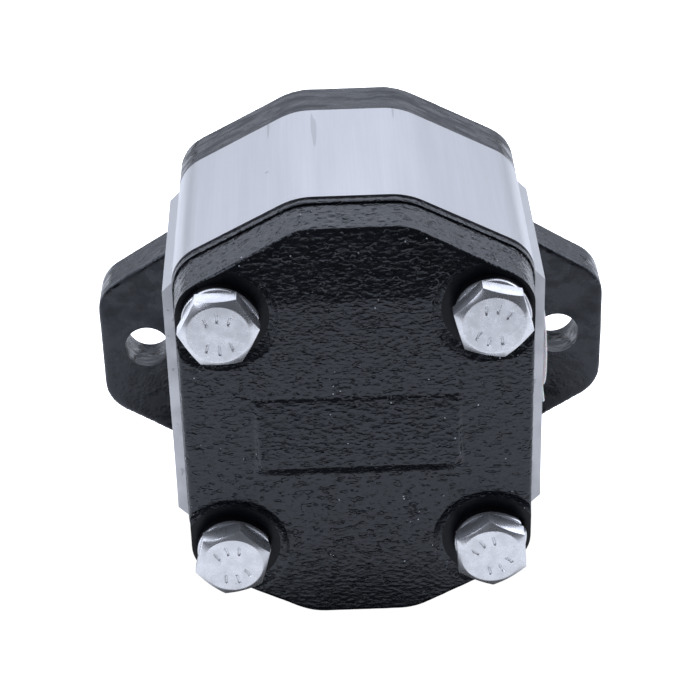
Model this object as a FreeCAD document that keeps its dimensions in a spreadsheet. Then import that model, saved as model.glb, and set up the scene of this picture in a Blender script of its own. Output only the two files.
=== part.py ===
"""External gear pump with a two-bolt mounting flange, an extruded body and a cast rear cover.

Frame: the origin is where the drive shaft's axis meets the mounting face. +Y runs along the
shaft to its free end, +X is to the right seen from behind the cover, and +Z runs from the
drive gear to the driven gear. A depth is a distance behind the mounting face, towards -Y.
All sizes are in millimetres.
"""
import FreeCAD, Part
import math
import os
import Sketcher

Vector = FreeCAD.Vector
Rotation = FreeCAD.Rotation

DRIVING = {
    # mounting flange
    "pilot_radius": 41.275, "pilot_height": 6.35, "plate_thick": 11.5, "ear_half": 65.0,
    "ear_circle": 48.2, "ear_tangent_x": 25.54, "ear_tangent_z": 40.88, "ear_end_z": 16.2,
    "ear_corner": 10.0, "ear_hole_x": 53.2, "ear_hole_radius": 5.75, "edge_round": 1.2,
    # depths of the joints between the castings and the body
    "block_front": 6.5, "flange_rear": 19.5, "body_rear": 65.0, "lip_rear": 67.5,
    "cover_rear": 80.3,
    # outline shared by the flange block, the body and the cover
    "mid_z": 16.5, "side_x": 41.6, "top_rise": 53.1, "top_flat": 12.6, "shoulder_rise": 37.9,
    "top_corner": 16.0, "side_corner": 10.5, "pad_x": 43.9, "pad_rise": 30.0, "pad_slope": 2.3,
    "lip_inset": 0.2, "wall_inset": 0.6, "face_inset": 1.3, "cover_round": 0.9,
    # plate cast on the cover's face
    "plaque_half": 23.5, "plaque_low": 6.7, "plaque_high": 25.5, "plaque_height": 1.0,
    "plaque_corner": 2.0,
    # cover bolts and their washers
    "bolt_x": 30.4, "bolt_rise": 31.4, "bolt_radius": 5.0, "bolt_length": 75.0,
    "bolt_hole_radius": 5.25, "tap_radius": 5.1, "tap_depth": 15.0, "head_width": 16.0,
    "head_height": 5.2, "crown_radius": 7.25, "spot_radius": 13.3, "spot_depth": 1.0,
    "washer_radius": 8.4, "washer_hole_radius": 5.1, "washer_thick": 3.1, "washer_gap": 1.4,
    # gears
    "centre_distance": 33.0, "teeth": 12, "gear_module": 2.75, "pressure_angle": 25.0,
    "tip_radius": 19.25, "root_radius": 13.06, "tooth_thinning": 0.15, "gear_front": 33.0,
    "gear_width": 18.5, "chamber_radius": 19.3,
    # shafts
    "journal_radius": 9.0, "shaft_radius": 7.9375, "journal_end": 8.0, "shaft_end": 31.8,
    "shaft_chamfer": 1.2, "rear_journal": 64.0, "driven_front": 20.5, "key_half": 2.0,
    "key_start": 10.5, "key_stop": 27.0, "key_depth": 2.4,
    # bearing blocks and bushes
    "block_radius": 19.26, "block_gap": 0.05, "bush_bore": 9.04, "bush_radius": 10.0,
    "bush_seat": 10.02, "bush_length": 12.5,
    # seals
    "ring_inner": 21.0, "ring_outer": 23.6, "ring_groove": 1.9, "ring_clear": 0.1,
    "groove_inner": 11.8, "groove_outer": 15.4, "groove_depth": 2.0, "groove_end": 3.0,
    "seal_inner": 13.1, "seal_outer": 15.3, "backup_inner": 11.9, "backup_outer": 13.0,
    "link_half": 1.1, "lip_radius": 9.05, "lip_seal_radius": 16.0,
    "lip_seal_front": 3.1, "lip_seal_depth": 3.9, "seal_bore_depth": 4.0,
    "shaft_hole_radius": 9.6, "circlip_front": 4.6, "circlip_thick": 1.2,
    "circlip_inner": 14.4, "circlip_outer": 16.9, "circlip_groove": 17.0,
    # dowels
    "dowel_radius": 3.0, "dowel_seat": 3.02, "dowel_length": 11.0, "dowel_depth": 5.6,
    "dowel_x": 34.0, "dowel_rise": 13.5,
    # ports
    "port_depth": 42.25, "left_port_radius": 10.3, "left_thread": 17.0,
    "right_port_radius": 8.75, "right_thread": 15.0, "passage_radius": 6.5,
    "passage_length": 35.0, "port_face_radius": 15.5, "port_face_cut": 0.3,
    # shipping plug in the right-hand port
    "plug_radius": 8.5, "plug_tip_radius": 8.1, "plug_tip_x": 33.0, "plug_seat_x": 43.7,
    "plug_rim_x": 46.2, "plug_rim_radius": 11.0, "plug_wall_radius": 7.1,
    "plug_floor_x": 36.0, "plug_tab_half": 3.2, "plug_tab_low": 17.0, "plug_tab_inner": 9.0,
    "plug_tab_thick": 1.2,
}

# Turn of each bolt's hexagon about its axis, in degrees from +X towards +Z.
BOLT_TURNS = {"1": 2.0, "2": -14.5, "3": 16.0, "4": 33.0}

# The two gear axes, by the height at which each lies.
AXES = (("drive", "0"), ("driven", "centre_distance"))

doc = FreeCAD.newDocument("gear_pump")
sheet = doc.addObject("Spreadsheet::Sheet", "dims")
for line, (alias, number) in enumerate(DRIVING.items(), 1):
    sheet.set("A%d" % line, str(number))
    sheet.setAlias("A%d" % line, alias)
doc.recompute()

nodes = []


# ---------------------------------------------------------------- expressions and sketches

def amount(expression):
    """Add up an expression such as "mid_z + bolt_rise - 2", from the sheet's cells."""
    total = 0.0
    sign = 1.0
    for word in expression.split():
        if word in "+-":
            sign = -1.0 if word == "-" else 1.0
            continue
        total += sign * (sheet.get(word) if word in DRIVING else float(word))
        sign = 1.0
    return total


def bound(expression):
    """The same expression, as FreeCAD reads it from the sheet."""
    return " ".join("dims." + word if word in DRIVING else word for word in expression.split())


def bind(thing, name, expression):
    thing.setExpression(name, bound(expression))


def new_body(name):
    body = doc.addObject("PartDesign::Body", name)
    body.Label = name
    nodes.append(body)
    return body


def origin_feature(body, role):
    return [item for item in body.Origin.OriginFeatures if item.Role == role][0]


def new_sketch(body, name, offset="0", role="XZ_Plane"):
    """A sketch on an origin plane; on XZ_Plane its x and y are X and Z, and offset is a depth."""
    sketch = body.newObject("Sketcher::SketchObject", name)
    sketch.AttachmentSupport = [(origin_feature(body, role), "")]
    sketch.MapMode = "FlatFace"
    bind(sketch, "AttachmentOffset.Base.z", offset)
    return sketch


def fix(sketch, kind, element, expression, point=None):
    """Bind a radius, or the x or y of a point, to an expression."""
    if expression == "0":
        axis = -2 if kind == "DistanceX" else -1
        sketch.addConstraint(Sketcher.Constraint("PointOnObject", element, point, axis))
        return
    if point is None:
        rule = Sketcher.Constraint(kind, element, amount(expression))
    else:
        rule = Sketcher.Constraint(kind, -1, 1, element, point, amount(expression))
    index = sketch.addConstraint(rule)
    bind(sketch, "Constraints[%d]" % index, expression)


def locate(sketch, element, point, x, y):
    fix(sketch, "DistanceX", element, x, point)
    fix(sketch, "DistanceY", element, y, point)


def circle(sketch, x, y, radius):
    centre = Vector(amount(x), amount(y), 0)
    element = sketch.addGeometry(Part.Circle(centre, Vector(0, 0, 1), amount(radius)), False)
    fix(sketch, "Radius", element, radius)
    locate(sketch, element, 3, x, y)


def arc_between(start, end, radius):
    """The anticlockwise arc of less than half a turn from start to end."""
    chord = end - start
    rise = math.sqrt(radius ** 2 - (chord.Length / 2) ** 2)
    inward = Vector(-chord.y, chord.x, 0).normalize()
    centre = (start + end) / 2 + inward * rise
    first = math.atan2(start.y - centre.y, start.x - centre.x)
    last = math.atan2(end.y - centre.y, end.x - centre.x)
    return Part.ArcOfCircle(Part.Circle(centre, Vector(0, 0, 1), radius), first, last)


def outline(sketch, corners, arcs=None):
    """A closed anticlockwise outline; arcs maps a corner's index to its side's radius."""
    arcs = arcs or {}
    points = [Vector(amount(x), amount(y), 0) for x, y in corners]
    sides = []
    for index, start in enumerate(points):
        end = points[(index + 1) % len(points)]
        if index in arcs:
            side = arc_between(start, end, amount(arcs[index]))
        else:
            side = Part.LineSegment(start, end)
        sides.append(sketch.addGeometry(side, False))
    for index, side in enumerate(sides):
        following = sides[(index + 1) % len(sides)]
        sketch.addConstraint(Sketcher.Constraint("Coincident", side, 2, following, 1))
        locate(sketch, side, 1, *corners[index])
        if index in arcs:
            fix(sketch, "Radius", side, arcs[index])


def stadium(sketch, radius):
    """The outline at one radius round both gear axes."""
    half = amount(radius)
    far = amount("centre_distance")
    up = Vector(0, 0, 1)
    low = sketch.addGeometry(Part.ArcOfCircle(
        Part.Circle(Vector(0, 0, 0), up, half), math.pi, 2 * math.pi), False)
    right = sketch.addGeometry(Part.LineSegment(Vector(half, 0, 0), Vector(half, far, 0)), False)
    high = sketch.addGeometry(Part.ArcOfCircle(
        Part.Circle(Vector(0, far, 0), up, half), 0, math.pi), False)
    left = sketch.addGeometry(Part.LineSegment(Vector(-half, far, 0), Vector(-half, 0, 0)), False)
    loop = [low, right, high, left]
    for index, side in enumerate(loop):
        following = loop[(index + 1) % len(loop)]
        sketch.addConstraint(Sketcher.Constraint("Tangent", side, 2, following, 1))
    locate(sketch, low, 3, "0", "0")
    locate(sketch, high, 3, "0", "centre_distance")
    fix(sketch, "Radius", low, radius)


def broken_ring(sketch, centre, inner, outer):
    """A ring round one gear axis, open on its left where x is less than -groove_end."""
    edge = amount("groove_end")
    middle = Vector(0, amount(centre), 0)
    arcs = []
    for radius in (outer, inner):
        reach = math.pi / 2 + math.asin(edge / amount(radius))
        ring = Part.Circle(middle, Vector(0, 0, 1), amount(radius))
        arcs.append(sketch.addGeometry(Part.ArcOfCircle(ring, -reach, reach), False))
        fix(sketch, "Radius", arcs[-1], radius)
        locate(sketch, arcs[-1], 3, "0", centre)
        for point in (1, 2):
            fix(sketch, "DistanceX", arcs[-1], "- groove_end", point)
    for point in (1, 2):
        ends = [sketch.getPoint(arc, point) for arc in arcs]
        side = sketch.addGeometry(Part.LineSegment(*ends), False)
        for number, arc in enumerate(arcs, 1):
            sketch.addConstraint(Sketcher.Constraint("Coincident", side, number, arc, point))


# ---------------------------------------------------------------- features

def add_pad(body, sketch, length):
    """A pad towards the sketch's normal, which is -Y on XZ_Plane."""
    pad = body.newObject("PartDesign::Pad", sketch.Name + "_pad")
    pad.Profile = sketch
    bind(pad, "Length", length)
    doc.recompute()
    return pad


def cut(body, sketch, length, forward=False):
    """A pocket away from the sketch's normal, or along it with forward; it must remove metal."""
    before = body.Shape.Volume
    pocket = body.newObject("PartDesign::Pocket", sketch.Name + "_cut")
    pocket.Profile = sketch
    pocket.Reversed = forward
    bind(pocket, "Length", length)
    doc.recompute()
    if not body.Shape.Volume < before - 1e-3:
        raise RuntimeError(pocket.Name + " removes nothing")
    return pocket


def revolve(body, sketch, kind="PartDesign::Revolution"):
    """Turn a sketch of the XY plane round the body's Y axis."""
    turned = body.newObject(kind, sketch.Name + "_turned")
    turned.Profile = sketch
    turned.ReferenceAxis = (origin_feature(body, "Y_Axis"), [""])
    turned.Angle = 360.0
    doc.recompute()
    return turned


def edge_names(shape, test):
    return ["Edge%d" % number for number, edge in enumerate(shape.Edges, 1) if test(edge)]


def blend(body, radius, test, kind="PartDesign::Fillet"):
    """Round, or chamfer, the edges of the body's last feature that pass the test."""
    base = body.Tip
    feature = body.newObject(kind, base.Name + "_blend")
    feature.Base = (base, edge_names(base.Shape, test))
    bind(feature, "Radius" if kind.endswith("Fillet") else "Size", radius)
    doc.recompute()
    return feature


def along_depth(edge):
    """True for a straight edge that runs mainly along Y."""
    ends = [vertex.Point for vertex in edge.Vertexes]
    if len(ends) < 2:
        return False
    run = ends[1] - ends[0]
    return abs(run.y) > 0.9 * run.Length and edge.Length < run.Length + 1e-3


def at_depth(edge, depth):
    box = edge.BoundBox
    place = -amount(depth)
    return abs(box.YMin - place) < 1e-4 and abs(box.YMax - place) < 1e-4


def middle_of(edge):
    return edge.BoundBox.Center


# ---------------------------------------------------------------- shapes shared by parts

def octagon(sketch, inset="0"):
    """The outline of the flange block, the body and the cover, moved in by an inset."""
    side = "side_x - " + inset
    less_side = "- side_x + " + inset
    tall = "mid_z + top_rise - " + inset
    deep = "mid_z - top_rise + " + inset
    high = "mid_z + shoulder_rise"
    low = "mid_z - shoulder_rise"
    outline(sketch, [
        (side, low), (side, high), ("top_flat", tall), ("- top_flat", tall),
        (less_side, high), (less_side, low), ("- top_flat", deep), ("top_flat", deep)])


def round_octagon(body, first_depth, last_depth):
    """Round the eight corners of the octagon between two depths."""
    def between(edge):
        return (along_depth(edge)
                and edge.BoundBox.YMax < 0.01 - amount(first_depth)
                and edge.BoundBox.YMin > -0.01 - amount(last_depth))

    middle = amount("mid_z")
    limit = (amount("shoulder_rise") + amount("top_rise")) / 2
    blend(body, "top_corner",
          lambda edge: between(edge) and abs(middle_of(edge).z - middle) > limit)
    blend(body, "side_corner",
          lambda edge: between(edge) and amount("pad_rise") + 4 < abs(middle_of(edge).z - middle)
          and abs(middle_of(edge).z - middle) < limit and abs(middle_of(edge).x) > 30)


def bolt_places():
    """Bolt number, and the expressions of its x and z."""
    rows = (("+", "1", "2"), ("-", "3", "4"))
    for sign, left, right in rows:
        height = "mid_z %s bolt_rise" % sign
        yield left, "- bolt_x", height
        yield right, "bolt_x", height


def bolt_circles(sketch, radius):
    for _, x, z in bolt_places():
        circle(sketch, x, z, radius)


def dowel_circles(sketch):
    circle(sketch, "- dowel_x", "mid_z + dowel_rise", "dowel_seat")
    circle(sketch, "dowel_x", "mid_z - dowel_rise", "dowel_seat")


def ring_groove(body, name, depth, forward):
    """The groove of a body seal, cut from the face at a depth."""
    sketch = new_sketch(body, name, depth)
    stadium(sketch, "ring_outer")
    stadium(sketch, "ring_inner")
    cut(body, sketch, "ring_groove", forward)


# ---------------------------------------------------------------- castings and body

def make_front_flange():
    body = new_body("front_flange")
    plate = new_sketch(body, "plate_outline")
    outline(plate, [
        ("ear_half", "- ear_end_z"), ("ear_half", "ear_end_z"),
        ("ear_tangent_x", "ear_tangent_z"), ("- ear_tangent_x", "ear_tangent_z"),
        ("- ear_half", "ear_end_z"), ("- ear_half", "- ear_end_z"),
        ("- ear_tangent_x", "- ear_tangent_z"), ("ear_tangent_x", "- ear_tangent_z")],
        arcs={2: "ear_circle", 6: "ear_circle"})
    add_pad(body, plate, "plate_thick")
    blend(body, "ear_corner", lambda edge: along_depth(edge) and abs(middle_of(edge).x) > 60)
    blend(body, "edge_round", lambda edge: at_depth(edge, "plate_thick"))

    block = new_sketch(body, "block_outline", "block_front")
    octagon(block)
    add_pad(body, block, "flange_rear - block_front")
    round_octagon(body, "0", "flange_rear")

    pilot = new_sketch(body, "pilot_outline", "- pilot_height")
    circle(pilot, "0", "0", "pilot_radius")
    add_pad(body, pilot, "pilot_height + 1")

    seal_bore = new_sketch(body, "seal_bore", "seal_bore_depth")
    circle(seal_bore, "0", "0", "lip_seal_radius")
    cut(body, seal_bore, "seal_bore_depth + pilot_height")
    circlip = new_sketch(body, "circlip_groove_section", "0", "XY_Plane")
    outline(circlip, [
        ("circlip_inner", "circlip_front - circlip_thick - 0.05"),
        ("circlip_groove", "circlip_front - circlip_thick - 0.05"),
        ("circlip_groove", "circlip_front + 0.05"), ("circlip_inner", "circlip_front + 0.05")])
    revolve(body, circlip, "PartDesign::Groove")
    shaft_hole = new_sketch(body, "shaft_hole", "flange_rear")
    circle(shaft_hole, "0", "0", "shaft_hole_radius")
    cut(body, shaft_hole, "flange_rear")

    ears = new_sketch(body, "ear_holes", "plate_thick")
    circle(ears, "ear_hole_x", "0", "ear_hole_radius")
    circle(ears, "- ear_hole_x", "0", "ear_hole_radius")
    cut(body, ears, "plate_thick")
    taps = new_sketch(body, "tapped_holes", "flange_rear")
    bolt_circles(taps, "tap_radius")
    cut(body, taps, "tap_depth")
    dowels = new_sketch(body, "flange_dowel_holes", "flange_rear")
    dowel_circles(dowels)
    cut(body, dowels, "dowel_depth")
    ring_groove(body, "flange_ring_groove", "flange_rear", False)


def make_pump_body():
    body = new_body("pump_body")
    profile = new_sketch(body, "extruded_profile", "flange_rear")
    octagon(profile)
    add_pad(body, profile, "body_rear - flange_rear")
    round_octagon(body, "flange_rear", "body_rear")
    pads = new_sketch(body, "port_pads", "flange_rear")
    high = "mid_z + pad_rise"
    low = "mid_z - pad_rise"
    outline(pads, [
        ("pad_x", low), ("pad_x", high), ("side_x", high + " + pad_slope"),
        ("- side_x", high + " + pad_slope"), ("- pad_x", high), ("- pad_x", low),
        ("- side_x", low + " - pad_slope"), ("side_x", low + " - pad_slope")])
    add_pad(body, pads, "body_rear - flange_rear")

    for name, height in AXES:
        chamber = new_sketch(body, name + "_chamber", "body_rear")
        circle(chamber, "0", height, "chamber_radius")
        cut(body, chamber, "body_rear - flange_rear")
    holes = new_sketch(body, "bolt_holes", "body_rear")
    bolt_circles(holes, "bolt_hole_radius")
    cut(body, holes, "body_rear - flange_rear")
    rear_dowels = new_sketch(body, "rear_dowel_holes", "body_rear")
    dowel_circles(rear_dowels)
    cut(body, rear_dowels, "dowel_depth")
    front_dowels = new_sketch(body, "front_dowel_holes", "flange_rear")
    dowel_circles(front_dowels)
    cut(body, front_dowels, "dowel_depth", True)

    for name, side, face, forward in (("left", "left", "- pad_x", True),
                                      ("right", "right", "pad_x", False)):
        steps = (("port_face_radius", "port_face_cut"), (side + "_port_radius", side + "_thread"),
                 ("passage_radius", "passage_length"))
        for number, (radius, length) in enumerate(steps):
            port = new_sketch(body, "%s_port_%d" % (name, number), face, "YZ_Plane")
            circle(port, "- port_depth", "mid_z", radius)
            cut(body, port, length, forward)


def make_rear_cover():
    body = new_body("rear_cover")
    lip = new_sketch(body, "lip_outline", "body_rear")
    octagon(lip, "lip_inset")
    add_pad(body, lip, "lip_rear - body_rear")
    wall = new_sketch(body, "wall_outline", "lip_rear")
    octagon(wall, "wall_inset")
    face = new_sketch(body, "face_outline", "cover_rear")
    octagon(face, "face_inset")
    drafted = body.newObject("PartDesign::AdditiveLoft", "drafted_wall")
    drafted.Profile = wall
    drafted.Sections = [face]
    drafted.Ruled = True
    doc.recompute()
    round_octagon(body, "lip_rear", "cover_rear")
    round_octagon(body, "body_rear", "lip_rear")
    blend(body, "cover_round", lambda edge: at_depth(edge, "cover_rear"))

    plaque = new_sketch(body, "plaque_outline", "cover_rear")
    outline(plaque, [
        ("plaque_half", "plaque_low"), ("plaque_half", "plaque_high"),
        ("- plaque_half", "plaque_high"), ("- plaque_half", "plaque_low")])
    add_pad(body, plaque, "plaque_height")
    blend(body, "plaque_corner",
          lambda edge: along_depth(edge) and edge.BoundBox.YMax < 0.01 - amount("cover_rear"))

    spots = new_sketch(body, "spot_faces", "cover_rear")
    bolt_circles(spots, "spot_radius")
    cut(body, spots, "spot_depth")
    holes = new_sketch(body, "cover_bolt_holes", "cover_rear")
    bolt_circles(holes, "bolt_hole_radius")
    cut(body, holes, "cover_rear - body_rear")
    dowels = new_sketch(body, "cover_dowel_holes", "body_rear")
    dowel_circles(dowels)
    cut(body, dowels, "dowel_depth", True)
    ring_groove(body, "cover_ring_groove", "body_rear", True)


# ---------------------------------------------------------------- gears and shafts

def involute_flank(half_angle, side, top):
    """One flank of a tooth gap, up from the base circle; half_angle is the gap's at the base."""
    base = amount("gear_module") * amount("teeth") / 2 * math.cos(
        math.radians(amount("pressure_angle")))
    points = []
    for step in range(7):
        radius = base + (top - base) * step / 6
        roll = math.acos(base / radius)
        angle = half_angle + math.tan(roll) - roll
        points.append(Vector(side * radius * math.sin(angle), radius * math.cos(angle), 0))
    curve = Part.BSplineCurve()
    curve.interpolate(points)
    return curve, points[0], points[-1]


def tooth_gap(sketch):
    """The space between two teeth, centred on the sketch's y axis and past the tip circle."""
    teeth = amount("teeth")
    pitch_radius = amount("gear_module") * teeth / 2
    slope = math.radians(amount("pressure_angle"))
    thin = amount("tooth_thinning") / pitch_radius
    half_angle = math.pi / teeth / 2 + thin - (math.tan(slope) - slope)
    root = amount("root_radius")
    curves = []
    ends = []
    for side in (1, -1):
        flank, foot, crest = involute_flank(half_angle, side, amount("tip_radius + 0.8"))
        corner = Vector(side * root * math.sin(half_angle), root * math.cos(half_angle), 0)
        curves += [Part.LineSegment(corner, foot), flank]
        ends.append((corner, crest))
    curves.append(Part.LineSegment(ends[0][0], ends[1][0]))
    curves.append(Part.LineSegment(ends[0][1], ends[1][1]))
    for curve in curves:
        sketch.addGeometry(curve, False)


def make_gear(name, section):
    """A gear cut from one piece with its shaft; section gives the shaft's radii and depths."""
    body = new_body(name)
    profile = new_sketch(body, name + "_section", "0", "XY_Plane")
    outline(profile, section)
    revolve(body, profile)
    blank = new_sketch(body, name + "_blank", "gear_front")
    circle(blank, "0", "0", "tip_radius")
    add_pad(body, blank, "gear_width")
    gap = new_sketch(body, name + "_gap", "gear_front + gear_width")
    tooth_gap(gap)
    pocket = cut(body, gap, "gear_width")
    pattern = body.newObject("PartDesign::PolarPattern", name + "_teeth")
    pattern.Originals = [pocket]
    pattern.Axis = (origin_feature(body, "Y_Axis"), [""])
    pattern.Angle = 360.0
    bind(pattern, "Occurrences", "teeth")
    body.Tip = pattern
    doc.recompute()
    return body


def make_gears():
    drive = make_gear("drive_gear", [
        ("0", "- rear_journal"), ("journal_radius - 0.6", "- rear_journal"),
        ("journal_radius", "- rear_journal + 0.6"), ("journal_radius", "journal_end - 1"),
        ("shaft_radius", "journal_end"), ("shaft_radius", "shaft_end - shaft_chamfer"),
        ("shaft_radius - shaft_chamfer", "shaft_end"), ("0", "shaft_end")])
    keyway = new_sketch(drive, "keyway", "shaft_radius", "XY_Plane")
    outline(keyway, [
        ("key_half", "key_start"), ("key_half", "key_stop"),
        ("- key_half", "key_stop"), ("- key_half", "key_start")])
    cut(drive, keyway, "key_depth")
    driven = make_gear("driven_gear", [
        ("0", "- rear_journal"), ("journal_radius - 0.6", "- rear_journal"),
        ("journal_radius", "- rear_journal + 0.6"), ("journal_radius", "- driven_front - 0.6"),
        ("journal_radius - 0.6", "- driven_front"), ("0", "- driven_front")])
    half_pitch = 180.0 / amount("teeth")
    driven.Placement = FreeCAD.Placement(
        Vector(0, 0, amount("centre_distance")), Rotation(Vector(0, 1, 0), half_pitch))


# ---------------------------------------------------------------- bearings and seals

def pressure_shape(body, name, depth, inner, outer, link, length, feature):
    """The figure-three shape of a balance seal, its groove or its backup ring."""
    arms = new_sketch(body, name + "_arms", depth)
    broken_ring(arms, "0", inner, outer)
    broken_ring(arms, "centre_distance", inner, outer)
    bridge = new_sketch(body, name + "_link", depth)
    low = link + " + 0.2"
    top = "centre_distance - %s - 0.2" % link
    outline(bridge, [("link_half", low), ("link_half", top),
                     ("- link_half", top), ("- link_half", low)])
    if feature is add_pad:
        feature(body, bridge, length)
        feature(body, arms, length)
    else:
        feature(body, arms, length)
        feature(body, bridge, length)


BLOCKS = {
    # end of the pump: depth of the front face, length, and whether its seal is at the front
    "front": ("flange_rear + block_gap", "gear_front - flange_rear - block_gap - block_gap", True),
    "rear": ("gear_front + gear_width + block_gap",
             "body_rear - gear_front - gear_width - block_gap - block_gap", False),
}


def make_bearing_block(end):
    start, length, seal_in_front = BLOCKS[end]
    body = new_body(end + "_bearing_block")
    for name, height in AXES:
        disc = new_sketch(body, "%s_block_%s" % (end, name), start)
        circle(disc, "0", height, "block_radius")
        add_pad(body, disc, length)
    bores = new_sketch(body, end + "_block_bores", start)
    circle(bores, "0", "0", "bush_seat")
    circle(bores, "0", "centre_distance", "bush_seat")
    cut(body, bores, length, True)
    if seal_in_front:
        pressure_shape(body, end + "_groove", start, "groove_inner", "groove_outer",
                       "groove_inner", "groove_depth",
                       lambda part, sketch, deep: cut(part, sketch, deep, True))
    else:
        pressure_shape(body, end + "_groove", "body_rear - block_gap", "groove_inner",
                       "groove_outer", "groove_inner", "groove_depth", cut)


def make_balance_parts(end):
    """The rubber balance seal and its two plastic backup rings, in the block's groove."""
    starts = {"front": "flange_rear + block_gap + 0.02",
              "rear": "body_rear - block_gap - groove_depth + 0.03"}
    seal = new_body(end + "_balance_seal")
    pressure_shape(seal, end + "_seal", starts[end], "seal_inner", "seal_outer", "seal_inner",
                   "groove_depth - 0.05", add_pad)
    for shaft, height in AXES:
        backup = new_body("%s_%s_backup_ring" % (end, shaft))
        arm = new_sketch(backup, "%s_%s_backup" % (end, shaft), starts[end])
        broken_ring(arm, height, "backup_inner", "backup_outer")
        add_pad(backup, arm, "groove_depth - 0.05")


def make_ring(name, inner, outer, depth, length):
    """A plain ring round the Y axis, made as a cylinder with a bore."""
    wall = doc.addObject("Part::Cylinder", name + "_wall")
    hole = doc.addObject("Part::Cylinder", name + "_hole")
    for solid, radius in ((wall, outer), (hole, inner)):
        bind(solid, "Radius", radius)
        bind(solid, "Height", length)
    ring = doc.addObject("Part::Cut", name)
    ring.Base = wall
    ring.Tool = hole
    ring.Label = name
    doc.recompute()
    ring.Placement = FreeCAD.Placement(Vector(0, -amount(depth), 0), Rotation(Vector(1, 0, 0), 90))
    return ring


def make_bushes():
    for end in BLOCKS:
        start, length, _ = BLOCKS[end]
        margin = (amount(length) - amount("bush_length")) / 2
        for shaft, height in AXES:
            bush = make_ring("%s_%s_bush" % (end, shaft), "bush_bore", "bush_radius",
                             start, "bush_length")
            bush.Placement.Base = Vector(0, -amount(start) - margin, amount(height))
            nodes.append(bush)


def make_body_seal(end):
    starts = {"front": "flange_rear - ring_groove + 0.02", "rear": "body_rear + 0.02"}
    body = new_body(end + "_body_seal")
    profile = new_sketch(body, end + "_seal_outline", starts[end])
    stadium(profile, "ring_outer - ring_clear")
    stadium(profile, "ring_inner + ring_clear")
    add_pad(body, profile, "ring_groove - 0.04")


def make_shaft_seal():
    """A lip seal: a steel-backed rubber case and a lip that turns in towards the shaft."""
    body = new_body("shaft_seal")
    section = new_sketch(body, "seal_section", "0", "XY_Plane")
    outline(section, [
        ("lip_radius", "- lip_seal_depth + 2"), ("lip_radius + 1.5", "- lip_seal_depth + 0.6"),
        ("lip_radius + 3", "- lip_seal_depth + 0.6"), ("lip_radius + 3", "lip_seal_front - 1.6"),
        ("lip_seal_radius - 1.2", "lip_seal_front - 1.6"),
        ("lip_seal_radius - 1.2", "- lip_seal_depth"), ("lip_seal_radius", "- lip_seal_depth"),
        ("lip_seal_radius", "lip_seal_front"), ("lip_radius + 1.2", "lip_seal_front"),
        ("lip_radius + 1.2", "- lip_seal_depth + 3.4")])
    revolve(body, section)


def make_retaining_ring():
    """The spring ring that holds the shaft seal, with an eye at each side of its gap."""
    body = new_body("seal_retaining_ring")
    band = new_sketch(body, "circlip_band", "- circlip_front")
    circle(band, "0", "0", "circlip_outer")
    circle(band, "0", "0", "circlip_inner")
    add_pad(body, band, "circlip_thick")
    gap = new_sketch(body, "circlip_gap", "- circlip_front")
    outline(gap, [("3", "circlip_inner - 2"), ("3", "circlip_outer + 1"),
                  ("- 3", "circlip_outer + 1"), ("- 3", "circlip_inner - 2")])
    cut(body, gap, "circlip_thick", True)
    for name, place in (("left", "- 4.4"), ("right", "4.4")):
        eye = new_sketch(body, "circlip_eye_" + name, "- circlip_front")
        circle(eye, place, "circlip_inner - 1.1", "1.9")
        circle(eye, place, "circlip_inner - 1.1", "0.8")
        add_pad(body, eye, "circlip_thick")


# ---------------------------------------------------------------- fasteners

def make_dowels():
    places = (("- dowel_x", "mid_z + dowel_rise"), ("dowel_x", "mid_z - dowel_rise"))
    number = 0
    for joint in ("flange_rear", "body_rear"):
        for x, z in places:
            number += 1
            pin = doc.addObject("Part::Cylinder", "dowel_%d" % number)
            pin.Label = pin.Name
            bind(pin, "Radius", "dowel_radius")
            bind(pin, "Height", "dowel_length")
            front = -amount(joint) + amount("dowel_length") / 2
            pin.Placement = FreeCAD.Placement(
                Vector(amount(x), front, amount(z)), Rotation(Vector(1, 0, 0), 90))
            nodes.append(pin)


def build_bolt(number, turn, x, z):
    name = "cover_bolt_" + number
    prism = doc.addObject("Part::Prism", name + "_hexagon")
    prism.Polygon = 6
    prism.setExpression("Circumradius", "dims.head_width / sqrt(3)")
    bind(prism, "Height", "head_height")
    crown = doc.addObject("Part::Cone", name + "_crown")
    crown.setExpression("Radius1", "dims.crown_radius + dims.head_height * sqrt(3)")
    bind(crown, "Radius2", "crown_radius")
    bind(crown, "Height", "head_height")
    head = doc.addObject("Part::Common", name + "_head")
    head.Base = prism
    head.Tool = crown
    shank = doc.addObject("Part::Cylinder", name + "_shank")
    bind(shank, "Radius", "bolt_radius")
    bind(shank, "Height", "bolt_length")
    bind(shank, "Placement.Base.z", "- bolt_length")
    bolt = doc.addObject("Part::Fuse", name)
    bolt.Base = head
    bolt.Tool = shank
    bolt.Label = name
    doc.recompute()
    bearing = amount("cover_rear - spot_depth + washer_thick")
    bolt.Placement = FreeCAD.Placement(
        Vector(amount(x), -bearing, amount(z)),
        Rotation(Vector(1, 0, 0), 90) * Rotation(Vector(0, 0, 1), turn))
    nodes.append(bolt)


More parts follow.
